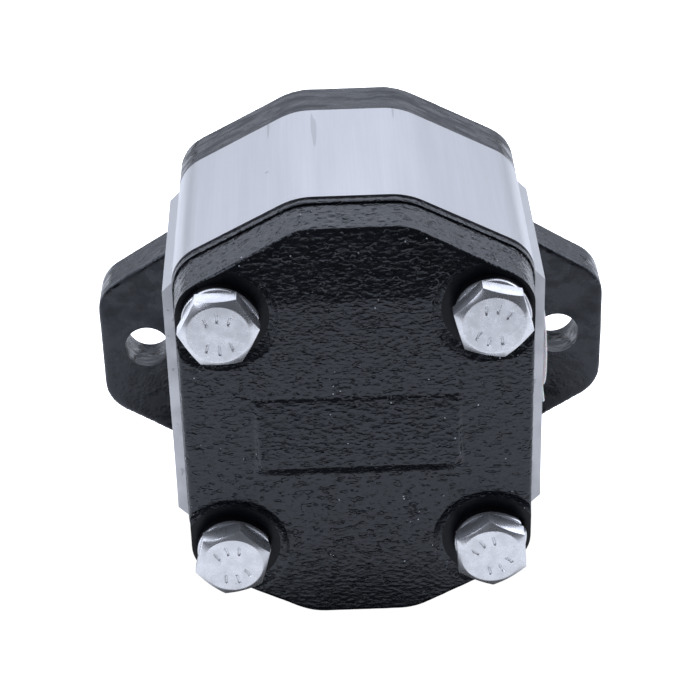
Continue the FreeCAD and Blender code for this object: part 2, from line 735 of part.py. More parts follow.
def build_washer(number, turn, x, z):
    """A split spring washer: a ring with a slanting cut."""
    name = "lock_washer_" + number
    ring = make_ring(name + "_ring", "washer_hole_radius", "washer_radius", "0", "washer_thick")
    ring.Placement = FreeCAD.Placement()
    slit = doc.addObject("Part::Box", name + "_slit")
    bind(slit, "Length", "washer_radius")
    bind(slit, "Width", "washer_gap")
    bind(slit, "Height", "washer_thick + 4")
    slit.Placement = FreeCAD.Placement(
        Vector(0, -amount("washer_gap") / 2, -2), Rotation(Vector(1, 0, 0), 30))
    washer = doc.addObject("Part::Cut", name)
    washer.Base = ring
    washer.Tool = slit
    washer.Label = name
    doc.recompute()
    floor = amount("cover_rear - spot_depth")
    washer.Placement = FreeCAD.Placement(
        Vector(amount(x), -floor, amount(z)),
        Rotation(Vector(1, 0, 0), 90) * Rotation(Vector(0, 0, 1), turn))
    nodes.append(washer)


def make_port_plug():
    """A hollow plastic plug with a rim and a pull tab; its own Y axis points out of the port."""
    body = new_body("port_plug")
    section = new_sketch(body, "plug_section", "0", "XY_Plane")
    outline(section, [
        ("0", "plug_tip_x"), ("plug_tip_radius", "plug_tip_x"), ("plug_radius", "plug_seat_x"),
        ("plug_rim_radius", "plug_seat_x"), ("plug_rim_radius", "plug_rim_x"),
        ("plug_wall_radius", "plug_rim_x"), ("plug_wall_radius", "plug_floor_x"),
        ("0", "plug_floor_x")])
    revolve(body, section)
    tab = new_sketch(body, "pull_tab", "- plug_rim_x")
    outline(tab, [
        ("plug_tab_half", "- plug_tab_low"), ("plug_tab_half", "- plug_tab_inner"),
        ("- plug_tab_half", "- plug_tab_inner"), ("- plug_tab_half", "- plug_tab_low")])
    add_pad(body, tab, "plug_tab_thick")
    body.Placement = FreeCAD.Placement(
        Vector(0, -amount("port_depth"), amount("mid_z")), Rotation(Vector(0, 0, 1), -90))


# ---------------------------------------------------------------- the whole pump

def build_pump():
    make_front_flange()
    make_pump_body()
    make_rear_cover()
    make_gears()
    for end in BLOCKS:
        make_bearing_block(end)
        make_balance_parts(end)
        make_body_seal(end)
    make_bushes()
    make_shaft_seal()
    make_retaining_ring()
    make_dowels()
    for number, x, z in bolt_places():
        build_bolt(number, BOLT_TURNS[number], x, z)
        build_washer(number, BOLT_TURNS[number], x, z)
    make_port_plug()
    doc.recompute()


def check_document():
    """Stop if any object failed to compute or any sub-part's shape is unusable."""
    for thing in doc.Objects:
        if {"Invalid", "Error"} & set(thing.State):
            raise RuntimeError("%s: %s" % (thing.Name, thing.State))
    for node in nodes:
        if node.Shape.isNull() or not node.Shape.isValid():
            raise RuntimeError(node.Label + " has no valid shape")


def export_nodes():
    os.makedirs("parts", exist_ok=True)
    for node in nodes:
        node.Shape.exportStep("parts/%s.step" % node.Label)
        print("%-22s solids %d  volume %9.1f" % (
            node.Label, len(node.Shape.Solids), node.Shape.Volume))


build_pump()
check_document()
export_nodes()
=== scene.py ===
"""Looks of an external gear pump, laid out as an add-on and run as a script.

Lengths are metres in the pump's own frame: X to the right, Z up, and Y out of the mounting
face. Depth is the distance behind that face, so a depth d lies at Y = -d.
"""

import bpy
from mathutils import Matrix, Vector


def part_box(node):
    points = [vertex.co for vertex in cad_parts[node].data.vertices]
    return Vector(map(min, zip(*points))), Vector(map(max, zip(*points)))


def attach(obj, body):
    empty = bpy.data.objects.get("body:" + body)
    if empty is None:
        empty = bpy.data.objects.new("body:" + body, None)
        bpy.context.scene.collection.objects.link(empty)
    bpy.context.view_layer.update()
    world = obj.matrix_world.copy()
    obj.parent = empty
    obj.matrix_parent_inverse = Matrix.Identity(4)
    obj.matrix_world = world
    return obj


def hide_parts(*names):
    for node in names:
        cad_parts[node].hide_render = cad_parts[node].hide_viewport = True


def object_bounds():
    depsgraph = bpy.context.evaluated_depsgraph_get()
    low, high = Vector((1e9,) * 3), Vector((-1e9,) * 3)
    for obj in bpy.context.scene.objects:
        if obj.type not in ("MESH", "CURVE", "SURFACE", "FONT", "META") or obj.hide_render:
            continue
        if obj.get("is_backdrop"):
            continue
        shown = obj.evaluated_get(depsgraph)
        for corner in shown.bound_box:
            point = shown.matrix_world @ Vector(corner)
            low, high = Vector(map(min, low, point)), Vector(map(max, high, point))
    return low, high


bl_info = {
    "name": "Gear pump looks",
    "version": (1, 0, 0),
    "blender": (4, 5, 0),
    "location": "3D View > Sidebar > Gear pump",
    "description": "Builds the castings, fasteners, finishes and stage of a gear pump",
    "category": "Object",
}

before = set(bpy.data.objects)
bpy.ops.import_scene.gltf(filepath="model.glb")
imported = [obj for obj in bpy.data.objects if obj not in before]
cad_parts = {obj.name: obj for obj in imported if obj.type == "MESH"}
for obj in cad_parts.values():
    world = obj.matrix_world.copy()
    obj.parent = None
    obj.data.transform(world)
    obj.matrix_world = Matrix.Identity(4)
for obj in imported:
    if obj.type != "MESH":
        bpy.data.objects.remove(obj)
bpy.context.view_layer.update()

import itertools
import math

import bmesh
import bpy
import numpy as np
from bpy.props import FloatProperty, FloatVectorProperty, IntProperty, PointerProperty
from mathutils import Matrix

MM = 0.001
BOLTS = ("1", "2", "3", "4")
COOL = (0.88, 0.93, 1.0, 1.0)  # tint of the highlights on the black paints
WHITE = (1.0, 1.0, 1.0, 1.0)
ON_AXIS = 1e-7  # smallest radius of a turned profile, so that no two points meet on its axis
ARC_POINTS = 33  # points along each rounded corner of an outline
LATTICE = 61  # random values along each side of the lattice that the lumps repeat
LIGHT_AIM = (0.0, -0.04, 0.015)  # the point that every light panel faces
PANELS = (  # name, place, width, height, and the setting that holds the brightness
    ("back_panel", (0.0, 1.3, 0.75), 3.8, 1.2, "back_light"),
    ("top_panel", (0.0, 0.65, 1.05), 1.8, 0.9, "top_light"),
    ("left_panel", (-1.2, 0.2, 0.55), 1.4, 1.0, "side_light"),
    ("right_panel", (1.2, 0.2, 0.55), 1.4, 1.0, "side_light"),
    ("front_panel", (-0.9, -0.85, 0.8), 0.8, 0.6, "front_light"),
)


# ---------------------------------------------------------------- kinds of setting

def length(name, millimetres, description):
    return FloatProperty(
        name=name, default=millimetres * MM, unit="LENGTH", precision=5,
        description=description)


def tint(name, colour, description):
    return FloatVectorProperty(
        name=name, default=colour, size=3, subtype="COLOR", min=0.0, max=1.0,
        description=description)


def turn(name, degrees, description):
    return FloatProperty(
        name=name, default=math.radians(degrees), subtype="ANGLE", description=description)


def share(name, value, description):
    return FloatProperty(
        name=name, default=value, min=0.0, max=1.0, subtype="FACTOR", description=description)


def strength(name, value, description):
    return FloatProperty(name=name, default=value, min=0.0, description=description)


# ---------------------------------------------------------------- settings

class OutlineSettings(bpy.types.PropertyGroup):
    """The eight-sided outline that the flange block, the body and the cover share."""
    mid_height: length("Middle height", 16.5, "Height of the outline's middle above the shaft")
    side: length("Side", 41.6, "Half the width across the upright sides")
    rise: length("Rise", 53.1, "Half the height across the top and bottom flats")
    flat: length("Flat", 12.6, "Half the width of the top and bottom flats")
    shoulder: length("Shoulder", 37.9, "Half the height of the upright sides")
    flat_corner: length("Flat corner", 16.0, "Radius where a flat meets its slopes")
    side_corner: length("Side corner", 10.5, "Radius where a slope meets its side")


class CoverSettings(bpy.types.PropertyGroup):
    """The cast rear cover."""
    joint: length("Joint depth", 65.0, "Depth of the joint with the body")
    lip: length("Lip depth", 67.5, "Depth at which the machined lip ends")
    face: length("Face depth", 80.3, "Depth of the cast face")
    lip_inset: length("Lip inset", 0.2, "How far the lip stands inside the outline")
    wall_inset: length("Wall inset", 0.75, "Inset of the drafted wall where it starts")
    face_inset: length("Face inset", 1.3, "Inset of the drafted wall at the face")
    edge_round: length("Edge round", 1.1, "Radius between the wall and the face")
    plate_half: length("Plate half width", 23.5, "Half the width of the raised plate")
    plate_low: length("Plate bottom", 6.7, "Height of the raised plate's lower edge")
    plate_high: length("Plate top", 25.5, "Height of the raised plate's upper edge")
    plate_corner: length("Plate corner", 2.0, "Radius of the raised plate's corners")
    plate_raise: length("Plate height", 1.6, "How far the plate stands off the face")
    plate_blend: length("Plate blend", 1.0, "Width of the slope at the plate's edge")
    plate_foot: length("Plate foot", 4.2, "Width of the slope at the plate's lower edge")
    plate_fade: share("Plate fade", 0.12, "Share of the plate's height left at its upper edge")
    lean_start: length("Lean start", 51.0, "Height above which the face leans inwards")
    lean_slope: share("Lean slope", 0.12, "Slope of the leaning part of the face")
    spot_radius: length("Spot face radius", 13.2, "Radius of the hollow round each bolt")
    spot_flat: length("Spot flat radius", 11.2, "Radius of the machined flat in each hollow")
    spot_floor: length("Spot face depth", 79.3, "Depth of the floor of each hollow")
    hole: length("Bolt hole radius", 5.25, "Radius of each bolt hole")
    lump_size: length("Lump size", 2.4, "Size of the sand's coarser lumps")
    lump_height: length("Lump height", 0.05, "Height of the coarser lumps")
    grain_size: length("Grain size", 1.2, "Size of the finer lumps")
    grain_height: length("Grain height", 0.022, "Height of the finer lumps")
    side_grain: strength("Side grain", 6.0, "How much higher the finer lumps are on the side")
    paint: tint("Paint", (0.006, 0.007, 0.010), "Colour of the black paint")


class FlangeSettings(bpy.types.PropertyGroup):
    """The cast mounting flange."""
    ear_tip: length("Ear tip", 65.0, "Half the width across the ears")
    ear_end: length("Ear end", 16.2, "Half the height of each ear's upright end")
    ear_peak: length("Ear peak", 56.86, "Where the two slopes of the plate would meet")
    ear_corner: length("Ear corner", 10.0, "Radius of each ear's corners")
    plate_round: length("Plate round", 48.2, "Radius of the plate's top and bottom")
    plate_rear: length("Plate depth", 11.5, "Depth of the ears' rear face")
    block_front: length("Block front", 6.5, "Depth at which the eight-sided block starts")
    block_rear: length("Block rear", 19.5, "Depth of the joint with the body")
    pilot_radius: length("Pilot radius", 41.275, "Radius of the locating pilot")
    pilot_height: length("Pilot height", 6.35, "How far the pilot stands out")
    seal_bore: length("Seal bore", 16.0, "Radius of the shaft seal's seat")
    seal_floor: length("Seal floor", 4.0, "Depth of the shaft seal's seat")
    groove: length("Groove radius", 17.0, "Radius of the retaining ring's groove")
    groove_low: length("Groove start", 3.35, "Height at which the groove starts")
    groove_high: length("Groove end", 4.65, "Height at which the groove ends")
    shaft_hole: length("Shaft hole", 9.6, "Radius of the hole for the shaft")
    ear_hole_x: length("Ear hole place", 53.2, "Distance of each ear's hole from the shaft")
    ear_hole: length("Ear hole radius", 5.75, "Radius of each ear's hole")
    chamfer: length("Chamfer", 0.7, "Chamfer of the machined edges")
    voxel: length("Mesh step", 0.62, "Step of the mesh of the casting")
    soften: IntProperty(name="Softening", default=9, description="Steps that round the cast edges")
    lump_size: length("Lump size", 5.0, "Size of the casting's slow waves")
    lump_height: length("Lump height", 0.05, "Height of the slow waves")
    paint: tint("Paint", (0.008, 0.009, 0.012), "Colour of the black finish")
    bare: tint("Machined metal", (0.56, 0.57, 0.60), "Colour of the machined faces")


class BodySettings(bpy.types.PropertyGroup):
    """The extruded aluminium body and the thread in its open port."""
    metal: tint("Aluminium", (0.57, 0.58, 0.605), "Colour of the extruded aluminium")
    roughness: share("Roughness", 0.36, "Roughness of the extruded surface")
    port_depth: length("Port depth", 42.25, "Depth of the ports' axis")
    port_height: length("Port height", 16.5, "Height of the ports' axis")
    port_mouth: length("Port mouth", 43.6, "Distance of the port's mouth from the shaft")
    thread_length: length("Thread length", 15.5, "Length of the thread in the open port")
    thread_radius: length("Thread radius", 10.28, "Radius of the thread's valleys")
    thread_height: length("Thread height", 0.55, "Height of the thread's ridges")
    thread_pitch: length("Thread pitch", 1.814, "Distance from one ridge to the next")


class BoltSettings(bpy.types.PropertyGroup):
    """The four hexagon bolts of the cover and their split washers."""
    width: length("Width", 16.0, "Width of the head across its flats")
    head: length("Head height", 5.2, "Height of the head")
    bearing: length("Bearing depth", 82.4, "Depth of the face under the head")
    crown: length("Crown radius", 7.25, "Radius of the flat inside the chamfer")
    shank: length("Shank radius", 4.97, "Radius of the plain shank")
    reach: length("Length", 75.0, "Length of the bolt under its head")
    thread: length("Thread length", 20.0, "Length of the thread")
    pitch: length("Pitch", 1.5, "Pitch of the thread")
    thread_height: length("Thread height", 0.7, "Height of the thread's ridges")
    dash: length("Dash depth", 0.28, "Depth of the stamped strokes on the head")
    washer_outer: length("Washer radius", 8.4, "Outer radius of the split washer")
    washer_inner: length("Washer hole", 5.15, "Inner radius of the split washer")
    washer_thick: length("Washer thickness", 3.1, "Thickness of the split washer")
    washer_gap: length("Washer gap", 1.4, "Width of the slanting split")
    washer_flare: length("Washer flare", 0.6, "How far the washer's ends spring outwards")
    turns: FloatVectorProperty(
        name="Turns", size=4, unit="ROTATION",
        default=tuple(math.radians(d) for d in (2.0, -14.5, 16.0, 33.0)),
        description="Angle of a corner of each head from +X towards +Z")
    plating: tint("Zinc", (0.80, 0.815, 0.85), "Colour of the zinc plating")


class PlugSettings(bpy.types.PropertyGroup):
    """The shipping plug in the right-hand port."""
    tip: length("Tip", 33.0, "Distance of the plug's tip from the shaft")
    seat: length("Seat", 43.7, "Distance of the rim's inner face")
    rim: length("Rim", 46.2, "Distance of the rim's outer face")
    tip_radius: length("Tip radius", 8.1, "Radius at the tip")
    body_radius: length("Body radius", 8.5, "Radius next to the rim")
    rim_radius: length("Rim radius", 11.0, "Radius of the rim")
    hollow: length("Hollow radius", 7.1, "Radius of the hollow")
    floor: length("Hollow floor", 36.0, "Distance of the hollow's floor")
    tab_half: length("Tab half width", 3.2, "Half the width of the pull tab")
    tab_start: length("Tab start", 9.0, "Where the tab starts, below the plug's axis")
    tab_end: length("Tab end", 17.0, "Where the tab ends, below the plug's axis")
    tab_thick: length("Tab thickness", 1.2, "Thickness of the tab")
    tab_lean: length("Tab lean", 0.8, "How far the tab's end leans outwards")
    plastic: tint("Plastic", (0.86, 0.88, 0.88), "Colour of the plastic")


class InsideSettings(bpy.types.PropertyGroup):
    """Finishes of the shafts, gears, bearings and seals."""
    ground: tint("Ground steel", (0.62, 0.62, 0.63), "Colour of shafts and gears")
    alloy: tint("Block alloy", (0.70, 0.71, 0.72), "Colour of the bearing blocks")
    bronze: tint("Bronze", (0.62, 0.42, 0.20), "Colour of the bushes")
    rubber: tint("Rubber", (0.018, 0.018, 0.02), "Colour of the seals")
    backing: tint("Backing plastic", (0.75, 0.74, 0.70), "Colour of the backup rings")
    spring: tint("Spring steel", (0.10, 0.10, 0.11), "Colour of the retaining ring")
    pin: tint("Dowel steel", (0.55, 0.55, 0.56), "Colour of the dowels")


class StageSettings(bpy.types.PropertyGroup):
    """Camera, floor and lights."""
    azimuth: turn("Azimuth", -0.69, "Camera's turn about the upright axis")
    elevation: turn("Elevation", 31.1, "Camera's height above the horizon")
    roll: turn("Roll", -1.62, "Camera's turn about its own line of sight")
    place: FloatVectorProperty(
        name="Camera place", size=3, subtype="TRANSLATION", unit="LENGTH", precision=5,
        default=(-0.00661, -0.51007, 0.29777), description="Camera's place")
    lens: FloatProperty(name="Lens", default=114.84, description="Focal length in millimetres")
    floor_half: length("Floor half width", 3000.0, "Half the width of the floor")
    floor: tint("Floor", (0.74, 0.77, 0.83), "Colour of the floor")
    # these settings place the floor's painted shade past its front and its round painted shadow
    floor_front: length("Floor front", 270.0, "How far in front of the shaft the bright floor ends")
    fade_past: length("Fade past the front", 60.0, "How far past its front the floor is dark")
    fade_inside: length("Fade inside", 20.0, "How far inside its front the floor darkens")
    floor_glow: strength("Floor glow", 1.0, "How white the floor looks where the camera sees it")
    floor_lift: strength("Floor lift", 0.5, "Light that the near floor itself gives off")
    floor_shade: length("Floor shade", 50.0, "Radius of the shade under the cover")
    shade_back: length("Shade place", 50.0, "How far behind the mounting face the shade lies")
    shade_edge: length("Shade edge", 25.0, "Width of the shade's soft edge")
    sky: tint("Sky", (0.84, 0.88, 1.0), "Colour of the surroundings")
    sky_light: strength("Sky light", 0.07, "Brightness of the surroundings")
    back_light: strength("Back light", 1.15, "Brightness of the panel behind the pump")
    top_light: strength("Top light", 0.75, "Brightness of the panel above the pump")
    side_light: strength("Side light", 2.3, "Brightness of the panels at both sides")
    front_light: strength("Front light", 2.5, "Brightness of the panel beside the camera")


GROUPS = (
    ("pump_outline", OutlineSettings),
    ("pump_cover", CoverSettings),
    ("pump_flange", FlangeSettings),
    ("pump_body", BodySettings),
    ("pump_bolts", BoltSettings),
    ("pump_plug", PlugSettings),
    ("pump_inside", InsideSettings),
    ("pump_stage", StageSettings),
)


# ---------------------------------------------------------------- surfaces

def skin(name, grid, ring=False):
    """One closed mesh over grid[row, column].

    The columns close round the piece. The rows close too when ring is true; otherwise a fan to
    the mean point of the first and of the last row closes each end. Faces are turned outwards
    by the sign of the volume that they enclose.
    """
    rows, columns = grid.shape[:2]
    points = grid.reshape(-1, 3)
    column = np.arange(columns)
    ahead = (column + 1) % columns
    row = np.arange(rows if ring else rows - 1)[:, None]
    below = row * columns
    above = ((row + 1) % rows) * columns
    quads = np.stack([below + column, below + ahead, above + ahead, above + column], -1)
    quads = quads.reshape(-1, 4)
    fans = np.empty((0, 3), int)
    if not ring:
        last = (rows - 1) * columns
        first_pole = np.full(columns, len(points))
        points = np.vstack([points, grid[0].mean(0), grid[-1].mean(0)])
        fans = np.vstack([
            np.stack([first_pole, ahead, column], -1),
            np.stack([first_pole + 1, last + column, last + ahead], -1)])
    corners = points[np.vstack([quads[:, :3], quads[:, [0, 2, 3]], fans])]
    volume = np.einsum("ij,ij->", corners[:, 0], np.cross(corners[:, 1], corners[:, 2]))
    if volume < 0:
        quads, fans = quads[:, ::-1], fans[:, ::-1]
    mesh = bpy.data.meshes.new(name)
    mesh.from_pydata(points.tolist(), [], quads.tolist() + fans.tolist())
    return mesh


def place(along, radius, angle, axis, centre):
    """Points at a distance along an axis and at a radius and angle about it.

    axis "x" looks along X, with the angle from Y towards Z; axis "y" looks along Y, with the
    angle from X towards Z.
    """
    along, radius, angle = np.broadcast_arrays(along, radius, angle)
    first, second = radius * np.cos(angle), radius * np.sin(angle)
    if axis == "x":
        return np.stack([along, first, second], -1) + centre
    return np.stack([first, along, second], -1) + centre


def lathe(name, profile, axis="y", centre=(0.0, 0.0, 0.0), columns=128):
    """A turned solid: the profile of (along, radius) pairs goes round the axis once."""
    along, radius = np.array(profile, float).T[:, :, None]
    angle = np.linspace(0, 2 * math.pi, columns, endpoint=False)[None, :]
    return skin(name, place(along, np.maximum(radius, ON_AXIS), angle, axis, np.array(centre)))


def rounded_outline(corners, radii, count):
    """Evenly spaced points of a polygon with rounded corners, and the outward normals there.

    At each corner the normal turns from that of the side before to that of the side after, and
    the point is the arc's centre plus the radius times the normal; straight sides join the arcs.
    """
    corners, radii = np.array(corners, float), np.array(radii, float)
    sides = np.roll(corners, -1, 0) - corners
    normals = np.stack([sides[:, 1], -sides[:, 0]], -1)
    normals /= np.linalg.norm(normals, axis=1, keepdims=True)
    before = np.roll(normals, 1, 0)
    lean = 1 + np.einsum("ij,ij->i", before, normals)
    centres = corners - (radii / lean)[:, None] * (before + normals)
    start = np.arctan2(before[:, 1], before[:, 0])
    swing = (np.arctan2(normals[:, 1], normals[:, 0]) - start) % (2 * math.pi)
    angle = start[:, None] + swing[:, None] * np.linspace(0, 1, ARC_POINTS)
    normal = np.stack([np.cos(angle), np.sin(angle)], -1)
    arcs = (centres[:, None] + radii[:, None, None] * normal).reshape(-1, 2)
    normal = normal.reshape(-1, 2)
    arcs, normal = np.vstack([arcs, arcs[:1]]), np.vstack([normal, normal[:1]])
    way = np.concatenate([[0], np.cumsum(np.linalg.norm(np.diff(arcs, axis=0), axis=1))])
    at = np.linspace(0, way[-1], count, endpoint=False)
    points = np.stack([np.interp(at, way, arcs[:, k]) for k in (0, 1)], -1)
    facing = np.stack([np.interp(at, way, normal[:, k]) for k in (0, 1)], -1)
    return points, facing / np.linalg.norm(facing, axis=1, keepdims=True)


def shared_outline(settings, count):
    """The pump's eight-sided outline in the X-Z plane, anticlockwise seen from -Y."""
    top = settings.mid_height + settings.rise
    bottom = settings.mid_height - settings.rise
    upper = settings.mid_height + settings.shoulder
    lower = settings.mid_height - settings.shoulder
    side, flat = settings.side, settings.flat
    corners = [
        (-flat, bottom), (flat, bottom), (side, lower), (side, upper),
        (flat, top), (-flat, top), (-side, upper), (-side, lower)]
    near, far = settings.flat_corner, settings.side_corner
    return rounded_outline(corners, [near, near, far, far, near, near, far, far], count)


def prism(name, outline, low, high):
    """A straight solid: the outline carried along Y from low to high."""
    along = np.array([low, high])[:, None]
    grid = np.stack(np.broadcast_arrays(outline[None, :, 0], along, outline[None, :, 1]), -1)
    return skin(name, grid)


def lumps(points, size, seed):
    """Smooth random heights from -1 to 1.

    Random values stand on a cubic lattice of that size, and a point takes the mean of the eight
    round it, weighted by a smoothstep of its place between them in each direction.
    """
    cell = points / size
    base = np.floor(cell).astype(int)
    part = cell - base
    part = part * part * (3 - 2 * part)
    values = np.random.default_rng(seed).uniform(-1, 1, (LATTICE, LATTICE, LATTICE))
    height = np.zeros(len(points))
    for step in itertools.product((0, 1), repeat=3):
        weight = np.where(np.array(step), part, 1 - part).prod(1)
        near = (base + step) % LATTICE
        height += weight * values[near[:, 0], near[:, 1], near[:, 2]]
    return height


def mesh_points(mesh):
    points = np.empty(len(mesh.vertices) * 3)
    mesh.vertices.foreach_get("co", points)
    return points.reshape(-1, 3)


def mesh_normals(mesh):
    normals = np.empty(len(mesh.vertices) * 3)
    mesh.vertices.foreach_get("normal", normals)
    return normals.reshape(-1, 3)


def face_centres(mesh):
    centres = np.empty(len(mesh.polygons) * 3)
    mesh.polygons.foreach_get("center", centres)
    return centres.reshape(-1, 3)


def mark_machined(mesh, chosen):
    """Gives the chosen faces the second material and all others the first."""
    mesh.polygons.foreach_set("material_index", chosen.astype(np.int32))


def swell(mesh, height):
    """Moves every vertex along its normal by its own height."""
    moved = mesh_points(mesh) + mesh_normals(mesh) * height[:, None]
    mesh.vertices.foreach_set("co", moved.ravel())
    mesh.update()


def pooled(name, meshes):
    """All the meshes as one, side by side."""
    pool = bmesh.new()
    for mesh in meshes:
        pool.from_mesh(mesh)
    together = bpy.data.meshes.new(name)
    pool.to_mesh(together)
    pool.free()
    return together


def put(name, mesh):
    piece = bpy.data.objects.new(name, mesh)
    bpy.context.scene.collection.objects.link(piece)
    return piece


def settled(piece):
    """The piece's mesh with its modifiers worked in; the object itself is removed."""
    graph = bpy.context.evaluated_depsgraph_get()
    mesh = bpy.data.meshes.new_from_object(piece.evaluated_get(graph))
    bpy.data.objects.remove(piece)
    return mesh


def machined(name, blank, tools):
    """The blank with each tool's volume cut away."""
    piece = put(name, blank)
    cutters = []
    for number, tool in enumerate(tools):
        cutter = put("%s_tool_%d" % (name, number), tool)
        cutters.append(cutter)
        cut = piece.modifiers.new("cut_%d" % number, "BOOLEAN")
        cut.operation = "DIFFERENCE"
        cut.solver = "MANIFOLD"
        cut.object = cutter
    mesh = settled(piece)
    for cutter in cutters:
        bpy.data.objects.remove(cutter)
    return mesh


def finish_piece(name, mesh, body, materials, crease=35.0, replaces=()):
    """Makes a finished piece of the mesh: shading, materials and body, and hides the CAD parts that
    it stands for.
    """
    chosen = np.empty(len(mesh.polygons), np.int32)
    mesh.polygons.foreach_get("material_index", chosen)
    mesh.materials.clear()
    for material in materials:
        mesh.materials.append(material)
    mesh.polygons.foreach_set("material_index", np.minimum(chosen, len(materials) - 1))
    mesh.shade_smooth()
    mesh.set_sharp_from_angle(angle=math.radians(crease))
    piece = put(name, mesh)
    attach(piece, body)
    if replaces:
        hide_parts(*replaces)
    return piece


def box_centre(node):
    low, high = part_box(node)
    return np.array((low + high) / 2)


# ---------------------------------------------------------------- finishes

class Finish:
    """A material with one Principled shader, and short ways to feed it."""

    def __init__(self, name, colour, **values):
        self.material = bpy.data.materials.new(name)
        self.material.use_nodes = True
        self.tree = self.material.node_tree
        self.shader = self.tree.nodes["Principled BSDF"]
        self.shader.inputs["Base Color"].default_value = (*colour, 1.0)
        for socket, value in values.items():
            self.shader.inputs[socket.replace("_", " ")].default_value = value
        self.material.diffuse_color = (*colour, 1.0)
        self.base = tuple(colour)

    def node(self, kind, **values):
        made = self.tree.nodes.new("ShaderNode" + kind)
        for name, value in values.items():
            setattr(made, name, value)
        return made

    def feed(self, node, socket, source):
        if isinstance(source, bpy.types.NodeSocket):
            self.tree.links.new(source, node.inputs[socket])
        else:
            node.inputs[socket].default_value = source

    def where(self, stretch=(1.0, 1.0, 1.0), turned=(0.0, 0.0, 0.0), moved=(0.0, 0.0, 0.0)):
        """The place in the pump's frame, stretched, turned and moved."""
        mapping = self.node("Mapping")
        mapping.inputs["Location"].default_value = moved
        mapping.inputs["Scale"].default_value = stretch
        mapping.inputs["Rotation"].default_value = turned
        self.feed(mapping, "Vector", self.node("TexCoord").outputs["Object"])
        return mapping.outputs["Vector"]

    def parts(self, *axes):
        """The pump's own coordinates along the named axes."""
        apart = self.node("SeparateXYZ")
        self.feed(apart, "Vector", self.where())
        return [apart.outputs[axis] for axis in axes]

    def distance(self, **where):
        """Distance from the origin of the place as stretched and moved."""
        made = self.node("VectorMath", operation="LENGTH")
        self.feed(made, "Vector", self.where(**where))
        return made.outputs["Value"]

    def noise(self, size, detail=3.0, rough=0.5, **where):
        """Cloudy values about 0.5, with lumps of that size in metres."""
        made = self.node("TexNoise")
        self.feed(made, "Vector", self.where(**where))
        self.feed(made, "Scale", 1.0 / size)
        self.feed(made, "Detail", detail)
        self.feed(made, "Roughness", rough)
        return made.outputs["Fac"]

    def cells(self, size, **where):
        """Distance to the nearest of many scattered points, in units of their spacing."""
        made = self.node("TexVoronoi")
        self.feed(made, "Vector", self.where(**where))
        self.feed(made, "Scale", 1.0 / size)
        return made.outputs["Distance"]

    def between(self, source, low, high, start=0.0, end=1.0):
        """Carries low..high of the source to start..end, held there beyond."""
        made = self.node("MapRange", interpolation_type="SMOOTHSTEP")
        for socket, value in zip(
                ("Value", "From Min", "From Max", "To Min", "To Max"),
                (source, low, high, start, end)):
            self.feed(made, socket, value)
        return made.outputs["Result"]

    def combine(self, operation, first, second=0.0):
        made = self.node("Math", operation=operation)
        self.feed(made, 0, first)
        self.feed(made, 1, second)
        return made.outputs["Value"]

    def blend(self, amount, first, second):
        """The first colour, going over to the second by the amount."""
        made = self.node("Mix", data_type="RGBA")
        self.feed(made, "Factor", amount)
        for socket, colour in ((6, first), (7, second)):
            if isinstance(colour, bpy.types.NodeSocket):
                self.tree.links.new(colour, made.inputs[socket])
            else:
                made.inputs[socket].default_value = (*colour, 1.0)
        return made.outputs[2]

    def tones(self, source, low, high, darker, lighter):
        """The finish's own colour: a darker share of it where the source is low, and a lighter
        share where it is high."""
        return self.blend(self.between(source, low, high),
                          scaled(self.base, darker), scaled(self.base, lighter))

    def colour(self, source):
        self.tree.links.new(source, self.shader.inputs["Base Color"])

    def set(self, socket, source):
        self.feed(self.shader, socket, source)

    def relief(self, *layers):
        """Bumps from (height source, height in metres) pairs, one on top of the other."""
        normal = None
        for source, height in layers:
            bump = self.node("Bump")
            self.feed(bump, "Height", source)
            self.feed(bump, "Distance", height)
            if normal is not None:
                self.tree.links.new(normal, bump.inputs["Normal"])
            normal = bump.outputs["Normal"]
        self.tree.links.new(normal, self.shader.inputs["Normal"])


def scaled(colour, factor):
    return tuple(min(1.0, part * factor) for part in colour)


def cast_paint(name, colour, gloss=0.17):
    """Glossy black paint over rough sand casting, with painted shade in the grain's hollows and a
    few bright painted glints.
    """
    finish = Finish(name, colour, Specular_IOR_Level=0.6, Specular_Tint=COOL)
    patches = finish.noise(9 * MM, detail=2.0)
    grain = finish.noise(1.1 * MM, detail=1.5, rough=0.4, stretch=(0.7, 1.0, 1.25))
    hollows = finish.noise(1.5 * MM, detail=1.0, stretch=(0.7, 1.0, 1.35))
    pitting = finish.between(hollows, 0.30, 0.42)
    fine = finish.noise(0.4 * MM, detail=2.0)
    shade = finish.tones(patches, 0.35, 0.65, 0.8, 1.35)
    # painted shade: the colour darkens to under half in the grain's hollows
    hollow_shade = finish.between(grain, 0.30, 0.5, 1.0, 0.0)
    shade = finish.blend(hollow_shade, shade, scaled(colour, 0.45))
    # painted highlights: rare tiny light-grey glints scattered over the paint
    glint_specks = finish.between(finish.cells(2.3 * MM), 0.05, 0.085, 1.0, 0.0)
    glint_patches = finish.between(finish.noise(7 * MM, detail=1.0), 0.54, 0.6)
    shade = finish.blend(finish.combine("MULTIPLY", glint_specks, glint_patches), shade, (0.75, 0.78, 0.82))
    finish.colour(shade)
    finish.set("Roughness", finish.between(grain, 0.3, 0.7, gloss + 0.12, gloss))
    finish.relief((pitting, 0.16 * MM), (grain, 0.22 * MM), (fine, 0.03 * MM))
    return finish.material


def painted_floor(name, colour):
    """The same paint over a machined, flat floor."""
    finish = Finish(name, colour, Specular_IOR_Level=0.25)
    fine = finish.noise(0.5 * MM, detail=2.0)
    finish.set("Roughness", finish.between(fine, 0.3, 0.7, 0.42, 0.32))
    finish.relief((fine, 0.03 * MM))
    return finish.material


